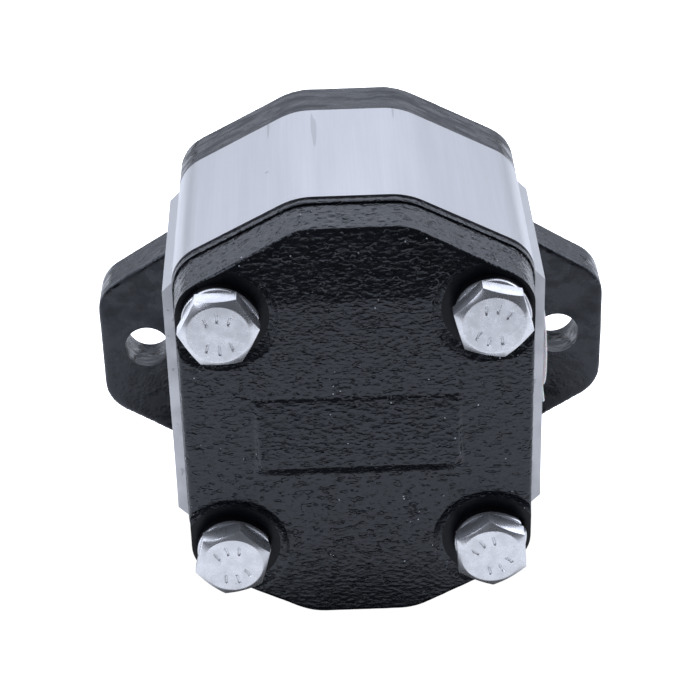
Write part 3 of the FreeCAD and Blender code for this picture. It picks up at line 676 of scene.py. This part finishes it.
def satin_casting(name, colour):
    """A smooth satin black finish on a casting, with soft lighter and darker smears."""
    finish = Finish(name, colour, Specular_IOR_Level=0.6, Specular_Tint=COOL)
    clouds = finish.noise(14 * MM, detail=4.0, rough=0.6)
    smears = finish.noise(5 * MM, detail=5.0, rough=0.65, stretch=(0.55, 2.4, 0.9))
    waves = finish.noise(3.5 * MM, detail=2.0)
    skin_grain = finish.noise(0.8 * MM, detail=3.0)
    shade = finish.tones(clouds, 0.35, 0.65, 0.75, 1.5)
    shade = finish.blend(finish.between(smears, 0.56, 0.7), shade, scaled(colour, 0.4))
    finish.colour(shade)
    finish.set("Roughness", finish.between(smears, 0.38, 0.62, 0.14, 0.5))
    finish.relief((waves, 0.2 * MM), (skin_grain, 0.06 * MM))
    return finish.material


def turned_metal(name, colour, roughness=0.3):
    """Bare metal with the fine rings that a lathe leaves about the shaft's axis."""
    finish = Finish(name, colour, Metallic=1.0)
    radius = finish.distance(stretch=(1.0, 0.0, 1.0))
    ring_step = 0.25 * MM
    rings = finish.combine("SINE", finish.combine("MULTIPLY", radius, 2 * math.pi / ring_step))
    clouds = finish.noise(6 * MM, detail=4.0, rough=0.6)
    finish.colour(finish.tones(clouds, 0.3, 0.7, 0.86, 1.05))
    finish.set("Roughness", finish.between(clouds, 0.3, 0.7, roughness + 0.08, roughness - 0.04))
    finish.relief((rings, 0.004 * MM), (clouds, 0.01 * MM))
    return finish.material


def mill_aluminium(name, colour, roughness):
    """Extruded aluminium: die lines along Y, faint bands, a few scratches and small dings."""
    finish = Finish(name, colour, Metallic=1.0)
    lines = finish.noise(0.35 * MM, detail=3.0, stretch=(1.0, 0.012, 1.0))
    bands = finish.noise(5.0 * MM, detail=3.0, stretch=(1.0, 0.06, 1.0))
    clouds = finish.noise(16 * MM, detail=3.0)
    shade = finish.tones(bands, 0.3, 0.7, 0.95, 1.0)
    worn = finish.blend(0.2, shade, scaled(colour, 0.8))
    shade = finish.blend(finish.between(lines, 0.3, 0.7), worn, shade)
    shade = finish.blend(finish.between(clouds, 0.35, 0.65, 0.0, 0.25), shade, scaled(colour, 0.92))
    streaks = finish.noise(
        2.2 * MM, detail=1.0, stretch=(1.0, 0.05, 1.0), turned=(0.0, 0.0, 0.5))
    scratch = finish.between(streaks, 0.735, 0.75)
    dings = finish.between(finish.cells(13 * MM), 0.03, 0.045, 1.0, 0.0)
    marks = finish.combine("MAXIMUM", scratch, dings)
    shade = finish.blend(finish.combine("MULTIPLY", marks, 0.55), shade, scaled(colour, 0.62))
    finish.colour(shade)
    finish.set("Roughness", finish.between(bands, 0.3, 0.7, roughness + 0.05, roughness - 0.04))
    finish.relief((lines, 0.012 * MM), (marks, -0.05 * MM))
    return finish.material


def zinc_plating(name, colour, front=None):
    """Bright zinc plating: slightly uneven, with a fine grain and tiny dark pinholes.

    With a front depth given, black is painted as shade over all that lies further in than a
    millimetre, where the head and the hollow shade the washer.
    """
    metallic, black = 0.85, (0.006, 0.006, 0.008)
    finish = Finish(name, colour, Metallic=metallic)
    clouds = finish.noise(3.5 * MM, detail=4.0, rough=0.6)
    grain = finish.noise(0.3 * MM, detail=2.0)
    pins = finish.between(finish.cells(2.8 * MM), 0.05, 0.08, 1.0, 0.0)
    shade = finish.tones(clouds, 0.3, 0.7, 0.86, 1.0)
    shade = finish.blend(finish.combine("MULTIPLY", pins, 0.5), shade, scaled(colour, 0.45))
    if front is not None:
        # painted shade: the washer turns black and loses its metal more than a millimetre behind
        # the head
        [y] = finish.parts("Y")
        painted = finish.between(y, 0.7 * MM - front, 1.0 * MM - front)
        shade = finish.blend(painted, shade, black)
        finish.set("Metallic", finish.between(painted, 0.0, 1.0, metallic, 0.0))
        finish.set("Specular IOR Level", 0.1)
    finish.colour(shade)
    finish.set("Roughness", finish.between(clouds, 0.3, 0.7, 0.32, 0.24))
    finish.relief((clouds, 0.015 * MM), (grain, 0.01 * MM))
    return finish.material


def ground_metal(name, colour, roughness=0.28, size=0.3, stretch=(1.0, 0.05, 1.0), metallic=1.0):
    """Metal ground or drawn one way, with uneven brightness."""
    finish = Finish(name, colour, Metallic=metallic)
    lines = finish.noise(size * MM, detail=3.0, stretch=stretch)
    clouds = finish.noise(6 * MM, detail=4.0, rough=0.6)
    finish.colour(finish.tones(clouds, 0.3, 0.7, 0.8, 1.05))
    finish.set("Roughness", finish.between(lines, 0.3, 0.7, roughness - 0.05, roughness + 0.1))
    finish.relief((lines, 0.008 * MM))
    return finish.material


def soft_moulding(name, colour, roughness=0.55, **values):
    """Moulded rubber or plastic: a fine grain and slow changes of tone."""
    finish = Finish(name, colour, **values)
    clouds = finish.noise(5 * MM, detail=3.0)
    grain = finish.noise(0.4 * MM, detail=2.0)
    finish.colour(finish.tones(clouds, 0.3, 0.7, 0.88, 1.06))
    finish.set("Roughness", finish.between(grain, 0.3, 0.7, roughness - 0.08, roughness + 0.08))
    finish.relief((clouds, 0.05 * MM), (grain, 0.015 * MM))
    return finish.material


def paint_node(node, material):
    """Puts the material on a CAD node's own slots."""
    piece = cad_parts[node]
    if not piece.material_slots:
        piece.data.materials.append(material)
    for slot in piece.material_slots:
        slot.material = material


# ---------------------------------------------------------------- rear cover

def cover_side(cover, steps=26):
    """(inset, depth) pairs from the joint over the lip and the drafted wall to the face.

    The round at the face is a quarter circle between the wall and the face.
    """
    small = 0.35 * MM
    lip = [
        (cover.lip_inset + small, cover.joint), (cover.lip_inset, cover.joint + small),
        (cover.lip_inset, cover.lip - small), (cover.lip_inset + small * 0.4, cover.lip),
        (cover.wall_inset + 0.5 * small, cover.lip),
        (cover.wall_inset, cover.lip + 0.5 * small)]
    end = cover.face - cover.edge_round
    wall = np.stack([
        np.linspace(cover.wall_inset, cover.face_inset, steps),
        np.linspace(cover.lip + small, end, steps)], -1)
    quarter = np.linspace(0, math.pi / 2, 9)[1:]
    edge = np.stack([
        cover.face_inset + cover.edge_round * (1 - np.cos(quarter)),
        end + cover.edge_round * np.sin(quarter)], -1)
    return np.vstack([lip, wall, edge])


def plate_height(cover, x, z):
    """Height of the raised plate: full inside a rounded rectangle, and a smoothstep of the
    distance from its edge across the blend."""
    middle = (cover.plate_low + cover.plate_high) / 2
    half = (cover.plate_high - cover.plate_low) / 2
    across = np.abs(x) - cover.plate_half + cover.plate_corner
    up = np.abs(z - middle) - half + cover.plate_corner
    outside = np.hypot(np.maximum(across, 0), np.maximum(up, 0))
    distance = outside + np.minimum(np.maximum(across, up), 0) - cover.plate_corner
    foot = np.clip((middle - z) / half, 0, 1) ** 4
    blend = cover.plate_blend + (cover.plate_foot - cover.plate_blend) * foot
    part = np.clip(0.5 - distance / blend, 0, 1)
    fade = 1 - (1 - cover.plate_fade) * np.clip((z - cover.plate_low) / (2 * half), 0, 1)
    return cover.plate_raise * fade * part * part * (3 - 2 * part)


def cover_blank(outline, cover, columns=760, face_rows=92):
    """The cover as cast: rows go from the middle of the joint face out to the outline, up the
    side, and in over the face to its middle. Side rows are the outline moved in along its
    normals; face rows are the last side row drawn together towards the middle."""
    points, normals = shared_outline(outline, columns)
    profile = cover_side(cover)
    plan = points[None] - normals[None] * profile[:, 0, None, None]
    middle = np.array([0.0, outline.mid_height])
    under = middle + (plan[0] - middle) * np.linspace(0.08, 0.96, 5)[:, None, None]
    over = middle + (plan[-1] - middle) * np.linspace(1, 0, face_rows + 1)[1:-1, None, None]
    plan = np.vstack([under, plan, over])
    depth = np.concatenate([
        np.full(len(under), cover.joint), profile[:, 1], np.full(len(over), cover.face)])
    depth = np.broadcast_to(depth[:, None], plan.shape[:2]).copy()
    depth[-len(over):] += plate_height(cover, plan[-len(over):, :, 0], plan[-len(over):, :, 1])
    leaning = np.clip((depth - cover.face + 3 * MM) / (3 * MM), 0, 1)
    depth -= leaning * cover.lean_slope * np.maximum(plan[..., 1] - cover.lean_start, 0)
    grid = np.stack([plan[..., 0], -depth, plan[..., 1]], -1)
    blank = skin("cover_blank", grid)
    spots = mesh_points(blank)
    cast = np.clip((-spots[:, 1] - cover.lip - 0.4 * MM) / (0.6 * MM), 0, 1)
    side = np.clip((cover.face - 1.5 * MM + spots[:, 1]) / (1.5 * MM), 0, 1)
    grain = cover.grain_height * (1 + (cover.side_grain - 1) * side)
    swell(blank, cast * (
        cover.lump_height * lumps(spots, cover.lump_size, 11)
        + grain * lumps(spots, cover.grain_size, 12)))
    return blank


def spot_face_tools(cover):
    """One turned tool for each bolt: the bolt's hole, the flat round it, and a cast slope that
    rises from the flat and rolls over into the face."""
    start, floor, top = 4 * MM - cover.joint, -cover.spot_floor, -(cover.face + 6 * MM)
    flat, rim = cover.spot_flat, cover.spot_radius
    profile = [
        (start, 0.0), (start, cover.hole),
        (floor + 0.4 * MM, cover.hole), (floor, cover.hole + 0.4 * MM),
        (floor, flat - 0.3 * MM), (floor, flat), (floor - 0.15 * MM, flat + 0.6 * MM),
        (floor - 0.45 * MM, rim - 0.5 * MM), (floor - 0.75 * MM, rim - 0.1 * MM),
        (floor - 0.95 * MM, rim + 0.3 * MM), (floor - 1.15 * MM, rim + 1.2 * MM),
        (top, rim + 2.2 * MM), (top, 0.0)]
    tools = []
    for number in BOLTS:
        x, _, z = box_centre("cover_bolt_" + number)
        tools.append(lathe("spot_tool_" + number, profile, centre=(x, 0.0, z), columns=160))
    return pooled("spot_tools", tools)


class PUMP_OT_rear_cover(bpy.types.Operator):
    """Cast rear cover with its raised plate and the cuts round the bolts"""
    bl_idname = "pump.rear_cover"
    bl_label = "Rear cover"

    def execute(self, context):
        cover = context.scene.pump_cover
        blank = cover_blank(context.scene.pump_outline, cover)
        mesh = machined("rear_cover_casting", blank, [spot_face_tools(cover)])
        mark_machined(mesh, np.abs(face_centres(mesh)[:, 1] + cover.spot_floor) < 0.02 * MM)
        materials = [
            cast_paint("cover_cast_paint", cover.paint),
            painted_floor("cover_machined_paint", cover.paint)]
        finish_piece("rear_cover_casting", mesh, "housing", materials,
                     crease=50.0, replaces=["rear_cover"])
        return {"FINISHED"}


# ---------------------------------------------------------------- mounting flange

def flange_blank(outline, flange):
    """The flange as cast: ear plate, eight-sided block and pilot, merged on a fine lattice and
    smoothed, each left a little proud where it is machined afterwards."""
    spare = 1.2 * MM
    tip, end, peak = flange.ear_tip, flange.ear_end, flange.ear_peak
    corners = [(tip, -end), (tip, end), (0, peak), (-tip, end), (-tip, -end), (0, -peak)]
    radii = [flange.ear_corner, flange.ear_corner, flange.plate_round] * 2
    plate, _ = rounded_outline(corners, radii, 360)
    block, _ = shared_outline(outline, 360)
    pilot = lathe("pilot_blank", [
        (-2 * MM, 0.0), (-2 * MM, flange.pilot_radius + spare),
        (flange.pilot_height + spare, flange.pilot_radius + spare),
        (flange.pilot_height + spare, 0.0)])
    blank = put("flange_blank", pooled("flange_blank", [
        prism("plate_blank", plate, -flange.plate_rear, spare),
        prism("block_blank", block, -flange.block_rear - spare, -flange.block_front),
        pilot]))
    merge = blank.modifiers.new("merge", "REMESH")
    merge.mode = "VOXEL"
    merge.voxel_size = flange.voxel
    soften = blank.modifiers.new("soften", "SMOOTH")
    soften.factor = 0.5
    soften.iterations = flange.soften
    mesh = settled(blank)
    swell(mesh, flange.lump_height * lumps(mesh_points(mesh), flange.lump_size, 21))
    return mesh


def flange_tools(flange):
    """The machining of the flange: one turned tool faces both sides, turns the pilot and bores
    the seal's seat, the ring's groove and the shaft's hole; two more drill the ears."""
    far, chamfer = 90 * MM, flange.chamfer
    height, bore = flange.pilot_height, flange.seal_bore
    turning = lathe("turning_tool", [
        (-flange.block_rear - 12 * MM, 0.0), (-flange.block_rear - 12 * MM, far),
        (-flange.block_rear, far), (-flange.block_rear, flange.shaft_hole),
        (-flange.seal_floor, flange.shaft_hole), (-flange.seal_floor, bore),
        (flange.groove_low, bore), (flange.groove_low, flange.groove),
        (flange.groove_high, flange.groove), (flange.groove_high, bore),
        (height - chamfer, bore), (height, bore + chamfer),
        (height, flange.pilot_radius - chamfer), (height - chamfer, flange.pilot_radius),
        (0.0, flange.pilot_radius), (0.0, far), (height + 8 * MM, far),
        (height + 8 * MM, 0.0)], columns=256)
    hole = flange.ear_hole
    drills = [
        lathe("drill", [
            (-flange.plate_rear - 3 * MM, 0.0), (-flange.plate_rear - 3 * MM, hole),
            (-0.4 * MM, hole), (2.6 * MM, hole + 3.0 * MM), (2.6 * MM, 0.0)],
            centre=(side * flange.ear_hole_x, 0.0, 0.0), columns=96)
        for side in (-1, 1)]
    return [turning, pooled("drills", drills)]


class PUMP_OT_front_flange(bpy.types.Operator):
    """Cast mounting flange with its machined pilot, seal seat and ear holes"""
    bl_idname = "pump.front_flange"
    bl_label = "Mounting flange"

    def execute(self, context):
        flange = context.scene.pump_flange
        blank = flange_blank(context.scene.pump_outline, flange)
        mesh = machined("front_flange_casting", blank, flange_tools(flange))
        x, y, z = face_centres(mesh).T
        near = 0.02 * MM
        faced = (y > -near) | (y < near - flange.block_rear)
        mark_machined(mesh, faced | (np.hypot(x, z) < flange.groove + near))
        materials = [
            satin_casting("flange_satin_black", flange.paint),
            turned_metal("flange_machined_faces", flange.bare)]
        finish_piece("front_flange_casting", mesh, "housing", materials,
                     crease=50.0, replaces=["front_flange"])
        return {"FINISHED"}


# ---------------------------------------------------------------- aluminium body

class PUMP_OT_pump_body(bpy.types.Operator):
    """Extruded aluminium body, with the thread in its open port"""
    bl_idname = "pump.pump_body"
    bl_label = "Body"

    def execute(self, context):
        body = context.scene.pump_body
        aluminium = mill_aluminium("body_mill_aluminium", body.metal, body.roughness)
        paint_node("pump_body", aluminium)
        finish_piece("left_port_thread", port_thread(body), "housing",
                     [aluminium], crease=60.0)
        return {"FINISHED"}


def port_thread(body, columns=120, rows=140):
    """A sleeve with a helical ridge inside. The inner radius falls from the valley by a rounded
    triangle of (distance along / pitch - angle / full turn); the outer side lies in the metal."""
    angle = np.linspace(0, 2 * math.pi, columns, endpoint=False)[None, :]
    along = np.linspace(0, body.thread_length, rows)[:, None]
    phase = (along / body.thread_pitch - angle / (2 * math.pi)) % 1.0
    ridge = np.clip(1.35 - 2.7 * np.abs(phase - 0.5) * 1.15, 0, 1) * body.thread_height
    fade = np.clip(np.minimum(along, body.thread_length - along) / body.thread_pitch, 0, 1)
    inner = body.thread_radius - ridge * fade
    outer = np.full_like(inner, body.thread_radius + 0.25 * MM)
    radius = np.vstack([inner, outer[::-1]])
    start = -body.port_mouth
    distance = start + np.vstack([along, along[::-1]])
    centre = np.array([0.0, -body.port_depth, body.port_height])
    return skin("left_port_thread", place(distance, radius, angle, "x", centre), ring=True)


# ---------------------------------------------------------------- bolts and washers

def hexagon(angle, width, corner):
    """Distance from the middle to a hexagon's side: half its width over the cosine of the angle
    from the middle of that side."""
    sixth = math.pi / 3
    return width / 2 / np.cos((angle - corner) % sixth - sixth / 2)


def strokes(x, z, half_length, half_width):
    """1 on six short plain strokes, three in an upper and three in a lower row, and 0 between."""
    mark = np.zeros(np.broadcast(x, z).shape)
    for tilt, place_x, place_z in (
            (0.30, -2.7, 3.3), (0.0, 0.0, 4.2), (-0.30, 2.7, 3.3),
            (-0.30, -2.7, -3.3), (0.0, 0.0, -4.2), (0.30, 2.7, -3.3)):
        across, up = x - place_x * MM, z - place_z * MM
        side = across * math.cos(tilt) + up * math.sin(tilt)
        rise = up * math.cos(tilt) - across * math.sin(tilt)
        inside = np.clip((half_width - np.abs(side)) / (0.12 * MM) + 0.5, 0, 1)
        inside = inside * np.clip((half_length - np.abs(rise)) / (0.2 * MM) + 0.5, 0, 1)
        mark = np.maximum(mark, inside)
    return mark


def hex_bolt(name, bolts, centre, corner, columns=180):
    """A hexagon bolt as rows about its axis: the top flat with its strokes, the chamfer where a
    30-degree cone meets the hexagon, the six sides, the underside, the shank and the thread.
    The thread's radius falls by a triangle of (distance / pitch + angle / full turn)."""
    angle = corner + np.linspace(0, 2 * math.pi, columns, endpoint=False)[None, :]
    side = hexagon(angle, bolts.width, corner)
    drop = (side - bolts.crown) / math.sqrt(3)
    top, small, foot = bolts.head, 0.14 * MM, 0.4 * MM
    flat = np.linspace(0.02, 1, 34)[:, None] * (bolts.crown - small)
    radius, height = np.broadcast_arrays(flat, np.full_like(angle, top))
    height = height - bolts.dash * strokes(
        radius * np.cos(angle - corner), radius * np.sin(angle - corner), 1.1 * MM, 0.24 * MM)
    ones = np.ones_like(angle)
    rows = [
        (bolts.crown * ones, (top - small * 0.4) * ones),
        (side - small, top - drop + small * 0.45),
        (side - small * 0.3, top - drop - small * 0.15),
        (side, top - drop - small),
        (side, (foot + 0.15 * MM) * ones),
        (side - small, foot * ones),
        (bolts.crown * ones, foot * ones),
        (bolts.crown * ones, 0.0 * ones),
        (bolts.shank * ones, 0.0 * ones)]
    thread_top = -(bolts.reach - bolts.thread)
    tip = -(bolts.reach - 1.2 * MM)
    along = np.linspace(thread_top, tip, 100)[:, None]
    phase = (along / bolts.pitch + angle / (2 * math.pi)) % 1.0
    depth = bolts.thread_height * np.abs(2 * phase - 1)
    fade = np.clip((thread_top - along) / bolts.pitch, 0, 1)
    rows.append((bolts.shank - depth * fade, along * ones))
    rows.append(((bolts.shank - 1.2 * MM) * ones, -bolts.reach * ones))
    radius = np.vstack([radius] + [row[0] for row in rows])
    height = np.vstack([height] + [row[1] for row in rows])
    return skin(name, place(-bolts.bearing - height, radius, angle, "y", centre))


def split_washer(name, bolts, centre, corner, rows=150):
    """A rounded square section carried round the bolt from one side of the split to the other.
    The angle shifts with the height over the radius, which slants both ends alike, and the
    radius grows towards each end by the flare."""
    section, _ = rounded_outline(
        [(bolts.washer_inner, 0), (bolts.washer_outer, 0),
         (bolts.washer_outer, bolts.washer_thick), (bolts.washer_inner, bolts.washer_thick)],
        [0.35 * MM] * 4, 48)
    radius, height = section[None, :, 0], section[None, :, 1]
    gap = bolts.washer_gap / (2 * bolts.washer_inner)
    run = np.linspace(0, 1, rows)[:, None]
    slant = math.tan(math.radians(30)) * (height - bolts.washer_thick / 2) / radius
    angle = corner + gap + run * (2 * math.pi - 2 * gap) - slant
    near_end = np.minimum(run, 1 - run) * 2 * math.pi
    radius = radius + bolts.washer_flare * np.exp(-(near_end / 0.3) ** 2)
    along = -(bolts.bearing - bolts.washer_thick) - height
    return skin(name, place(along, radius, angle, "y", centre))


class PUMP_OT_cover_bolts(bpy.types.Operator):
    """Four plated hexagon bolts and their split washers"""
    bl_idname = "pump.cover_bolts"
    bl_label = "Bolts and washers"

    def execute(self, context):
        bolts = context.scene.pump_bolts
        zinc = zinc_plating("bolt_zinc_plating", bolts.plating)
        # the washers' finish carries painted shade: black over their rear
        washer_zinc = zinc_plating("washer_zinc_and_painted_shade", bolts.plating, bolts.bearing)
        for number, corner in zip(BOLTS, bolts.turns):
            node = "cover_bolt_" + number
            x, _, z = box_centre(node)
            centre = np.array([x, 0.0, z])
            finish_piece("hex_bolt_" + number, hex_bolt(node, bolts, centre, corner),
                         "housing", [zinc], crease=25.0, replaces=[node])
            finish_piece("split_washer_" + number,
                         split_washer("washer", bolts, centre, corner), "housing",
                         [washer_zinc], replaces=["lock_washer_" + number])
        return {"FINISHED"}


# ---------------------------------------------------------------- shipping plug

def plug_shell(plug, centre):
    """A turned hollow plug: tip, ribbed side, rim, hollow and floor."""
    small = 0.35 * MM
    ribs = np.linspace(0, 1, 60)
    side = np.stack([
        plug.tip + 0.8 * MM + ribs * (plug.seat - plug.tip - 1.0 * MM),
        plug.tip_radius + ribs * (plug.body_radius - plug.tip_radius)
        + 0.14 * MM * np.cos(ribs * 2 * math.pi * 5)], -1)
    profile = [
        (plug.tip, 0.0), (plug.tip, plug.tip_radius - 0.9 * MM),
        (plug.tip + 0.3 * MM, plug.tip_radius - 0.3 * MM), *side.tolist(),
        (plug.seat, plug.rim_radius - small), (plug.seat + small, plug.rim_radius),
        (plug.rim - small, plug.rim_radius), (plug.rim, plug.rim_radius - small),
        (plug.rim, plug.hollow + small), (plug.rim - small, plug.hollow),
        (plug.floor + small, plug.hollow - 0.2 * MM), (plug.floor, plug.hollow - 0.2 * MM - small),
        (plug.floor, 0.0)]
    return lathe("plug_shell", profile, axis="x", centre=centre, columns=144)


def plug_tab(plug, centre):
    """The pull tab: a rounded outline carried through the tab's thickness, leaning outwards by
    the square of the distance from where it starts."""
    low, high = -plug.tab_end, -plug.tab_start + 1.5 * MM
    half = plug.tab_half
    outline, normal = rounded_outline(
        [(-half, low), (half, low), (half, high), (-half, high)],
        [2.6 * MM, 2.6 * MM, 0.5 * MM, 0.5 * MM], 160)
    small, thick = 0.3 * MM, plug.tab_thick
    steps = np.array([
        (2 * small, 0.0), (small, 0.0), (small, 0.0), (0.0, small),
        (0.0, thick - small), (small, thick), (2 * small, thick)])
    inset, through = steps[:, 0, None, None], steps[:, 1, None]
    plan = outline[None] - normal[None] * inset
    lean = plug.tab_lean * np.clip(
        (-plug.tab_start - plan[..., 1]) / (plug.tab_end - plug.tab_start), 0, 1) ** 2
    across = plug.rim - thick + through + lean
    grid = np.stack([across, plan[..., 0], plan[..., 1]], -1) + np.array(centre)
    return skin("plug_tab", grid)


class PUMP_OT_port_plug(bpy.types.Operator):
    """Plastic shipping plug with its pull tab, in the right-hand port"""
    bl_idname = "pump.port_plug"
    bl_label = "Port plug"

    def execute(self, context):
        plug, body = context.scene.pump_plug, context.scene.pump_body
        centre = (0.0, -body.port_depth, body.port_height)
        plastic = soft_moulding("plug_polyethylene", plug.plastic, 0.42,
                                Subsurface_Weight=0.35, Subsurface_Scale=0.003)
        finish_piece("port_plug_shell", plug_shell(plug, centre), "plug",
                     [plastic], replaces=["port_plug"])
        finish_piece("port_plug_tab", plug_tab(plug, centre), "plug", [plastic])
        return {"FINISHED"}


# ---------------------------------------------------------------- shafts, gears, bearings, seals

class PUMP_OT_inside(bpy.types.Operator):
    """Finishes of the shafts, gears, bearing blocks, bushes, seals, ring and dowels"""
    bl_idname = "pump.inside"
    bl_label = "Shafts, gears and seals"

    def execute(self, context):
        inside = context.scene.pump_inside
        steel = ground_metal("shaft_ground_steel", inside.ground)
        finishes = {
            "drive_gear": steel, "driven_gear": steel,
            "bearing_block": ground_metal("block_alloy", inside.alloy, 0.4, 0.8, (1.0, 1.0, 1.0)),
            "bush": ground_metal("bush_bronze", inside.bronze, 0.38),
            "seal": soft_moulding("seal_rubber", inside.rubber, 0.5),
            "backup_ring": soft_moulding("backup_plastic", inside.backing, 0.45),
            "seal_retaining_ring": ground_metal("ring_spring_steel", inside.spring, 0.4, 0.6,
                                                (1.0, 1.0, 1.0), 0.8),
            "dowel": ground_metal("dowel_steel", inside.pin, 0.3, 0.4, (1.0, 1.0, 1.0)),
        }
        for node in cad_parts:
            found = [key for key in finishes if key in node]
            if found:
                paint_node(node, finishes[max(found, key=len)])
        return {"FINISHED"}


# ---------------------------------------------------------------- stage

def soft_panel(name, place_at, look_at, width, height, brightness, colour):
    """A large even light that the camera itself doesn't see. Brightness is its radiance: the
    light's power is that times pi times its area."""
    light = bpy.data.lights.new(name, "AREA")
    light.shape = "RECTANGLE"
    light.size, light.size_y = width, height
    light.energy = brightness * math.pi * width * height
    light.color = colour
    lamp = put(name, light)
    back = (np.array(place_at) - np.array(look_at)).astype(float)
    back /= np.linalg.norm(back)
    right = np.cross((0.0, 0.0, 1.0) if abs(back[2]) < 0.95 else (0.0, 1.0, 0.0), back)
    right /= np.linalg.norm(right)
    up = np.cross(back, right)
    away = Matrix(np.stack([right, up, back], -1).tolist())
    lamp.matrix_world = Matrix.Translation(place_at) @ away.to_4x4()
    lamp.visible_camera = False


def aimed_camera(stage):
    """A camera looking down its line of sight, given by azimuth, elevation and roll."""
    turn_by, lift, roll = stage.azimuth, stage.elevation, stage.roll
    back = np.array([
        math.sin(turn_by) * math.cos(lift), -math.cos(turn_by) * math.cos(lift), math.sin(lift)])
    right = np.array([math.cos(turn_by), math.sin(turn_by), 0.0])
    up = np.cross(back, right)
    rolled_right = right * math.cos(roll) + up * math.sin(roll)
    rolled_up = up * math.cos(roll) - right * math.sin(roll)
    data = bpy.data.cameras.new("studio_camera")
    data.sensor_width, data.lens = 36.0, stage.lens
    camera = put("studio_camera", data)
    axes = Matrix(np.stack([rolled_right, rolled_up, back], -1).tolist())
    camera.matrix_world = Matrix.Translation(stage.place) @ axes.to_4x4()
    return camera


def floor_paper(stage):
    """Pale paper, painted dark beyond its front as painted shade, with a round painted shadow under
    the cover.

    The near paper gives off some light of its own, and the camera sees all of it glow white.
    """
    paper = Finish("floor_paper", stage.floor, Roughness=0.9, Emission_Color=WHITE)
    [y] = paper.parts("Y")
    front = -stage.floor_front
    # painted shade: the paper's colour goes dark past its front
    inside = paper.between(y, front - stage.fade_past, front + stage.fade_inside)
    away = paper.distance(stretch=(1.0, 1.0, 0.0), moved=(0.0, stage.shade_back, 0.0))
    # painted shadow: a round dark patch on the paper under the cover
    clear = paper.between(away, stage.floor_shade, stage.floor_shade + stage.shade_edge)
    near = paper.combine("MULTIPLY", inside, clear)
    paper.colour(paper.blend(near, (0.02, 0.02, 0.02), tuple(stage.floor)))
    seen = paper.node("LightPath").outputs["Is Camera Ray"]
    glow = paper.combine("MULTIPLY", seen, stage.floor_glow)
    lift = paper.combine("MULTIPLY", near, stage.floor_lift)
    paper.set("Emission Strength", paper.combine("ADD", glow, lift))
    return paper.material


def studio_world(stage):
    """Surroundings that light the pump faintly and look white to the camera."""
    world = bpy.data.worlds.new("studio")
    world.use_nodes = True
    tree = world.node_tree
    surround = tree.nodes["Background"]
    surround.inputs["Color"].default_value = (*stage.sky, 1.0)
    surround.inputs["Strength"].default_value = stage.sky_light
    white = tree.nodes.new("ShaderNodeBackground")
    white.inputs["Color"].default_value = WHITE
    seen = tree.nodes.new("ShaderNodeLightPath")
    either = tree.nodes.new("ShaderNodeMixShader")
    tree.links.new(seen.outputs["Is Camera Ray"], either.inputs["Fac"])
    tree.links.new(surround.outputs["Background"], either.inputs[1])
    tree.links.new(white.outputs["Background"], either.inputs[2])
    tree.links.new(either.outputs["Shader"], tree.nodes["World Output"].inputs["Surface"])
    return world


class PUMP_OT_stage(bpy.types.Operator):
    """Pale floor, soft lights and camera"""
    bl_idname = "pump.stage"
    bl_label = "Stage"

    def execute(self, context):
        scene = context.scene
        stage = scene.pump_stage
        half, height = stage.floor_half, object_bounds()[0].z
        mesh = bpy.data.meshes.new("floor")
        mesh.from_pydata([(-half, -half, height), (half, -half, height),
                          (half, half, height), (-half, half, height)], [], [(0, 1, 2, 3)])
        mesh.materials.append(floor_paper(stage))
        put("floor", mesh)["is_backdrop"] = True
        scene.world = studio_world(stage)
        for name, place_at, width, height, setting in PANELS:
            soft_panel(name, place_at, LIGHT_AIM, width, height, getattr(stage, setting),
                       stage.sky)
        scene.camera = aimed_camera(stage)
        scene.view_settings.view_transform = "Standard"
        return {"FINISHED"}


# ---------------------------------------------------------------- panel and registration

OPERATORS = (
    PUMP_OT_rear_cover,
    PUMP_OT_front_flange,
    PUMP_OT_pump_body,
    PUMP_OT_cover_bolts,
    PUMP_OT_port_plug,
    PUMP_OT_inside,
    PUMP_OT_stage,
)


class PUMP_PT_panel(bpy.types.Panel):
    """Lists the pieces of the pump and their settings"""
    bl_idname = "PUMP_PT_panel"
    bl_label = "Gear pump"
    bl_space_type = "VIEW_3D"
    bl_region_type = "UI"
    bl_category = "Gear pump"

    def draw(self, context):
        for operator in OPERATORS:
            self.layout.operator(operator.bl_idname)
        for name, group in GROUPS:
            box = self.layout.box()
            box.label(text=group.__doc__)
            for setting in group.__annotations__:
                box.prop(getattr(context.scene, name), setting)


def register():
    for group in (group for _, group in GROUPS):
        bpy.utils.register_class(group)
    for thing in (*OPERATORS, PUMP_PT_panel):
        bpy.utils.register_class(thing)
    for name, group in GROUPS:
        setattr(bpy.types.Scene, name, PointerProperty(type=group))


def unregister():
    for name, _ in GROUPS:
        delattr(bpy.types.Scene, name)
    for thing in (PUMP_PT_panel, *reversed(OPERATORS)):
        bpy.utils.unregister_class(thing)
    for group in (group for _, group in reversed(GROUPS)):
        bpy.utils.unregister_class(group)


def main():
    register()
    for operator in OPERATORS:
        family, name = operator.bl_idname.split(".")
        getattr(getattr(bpy.ops, family), name)()


if __name__ == "__main__":
    main()
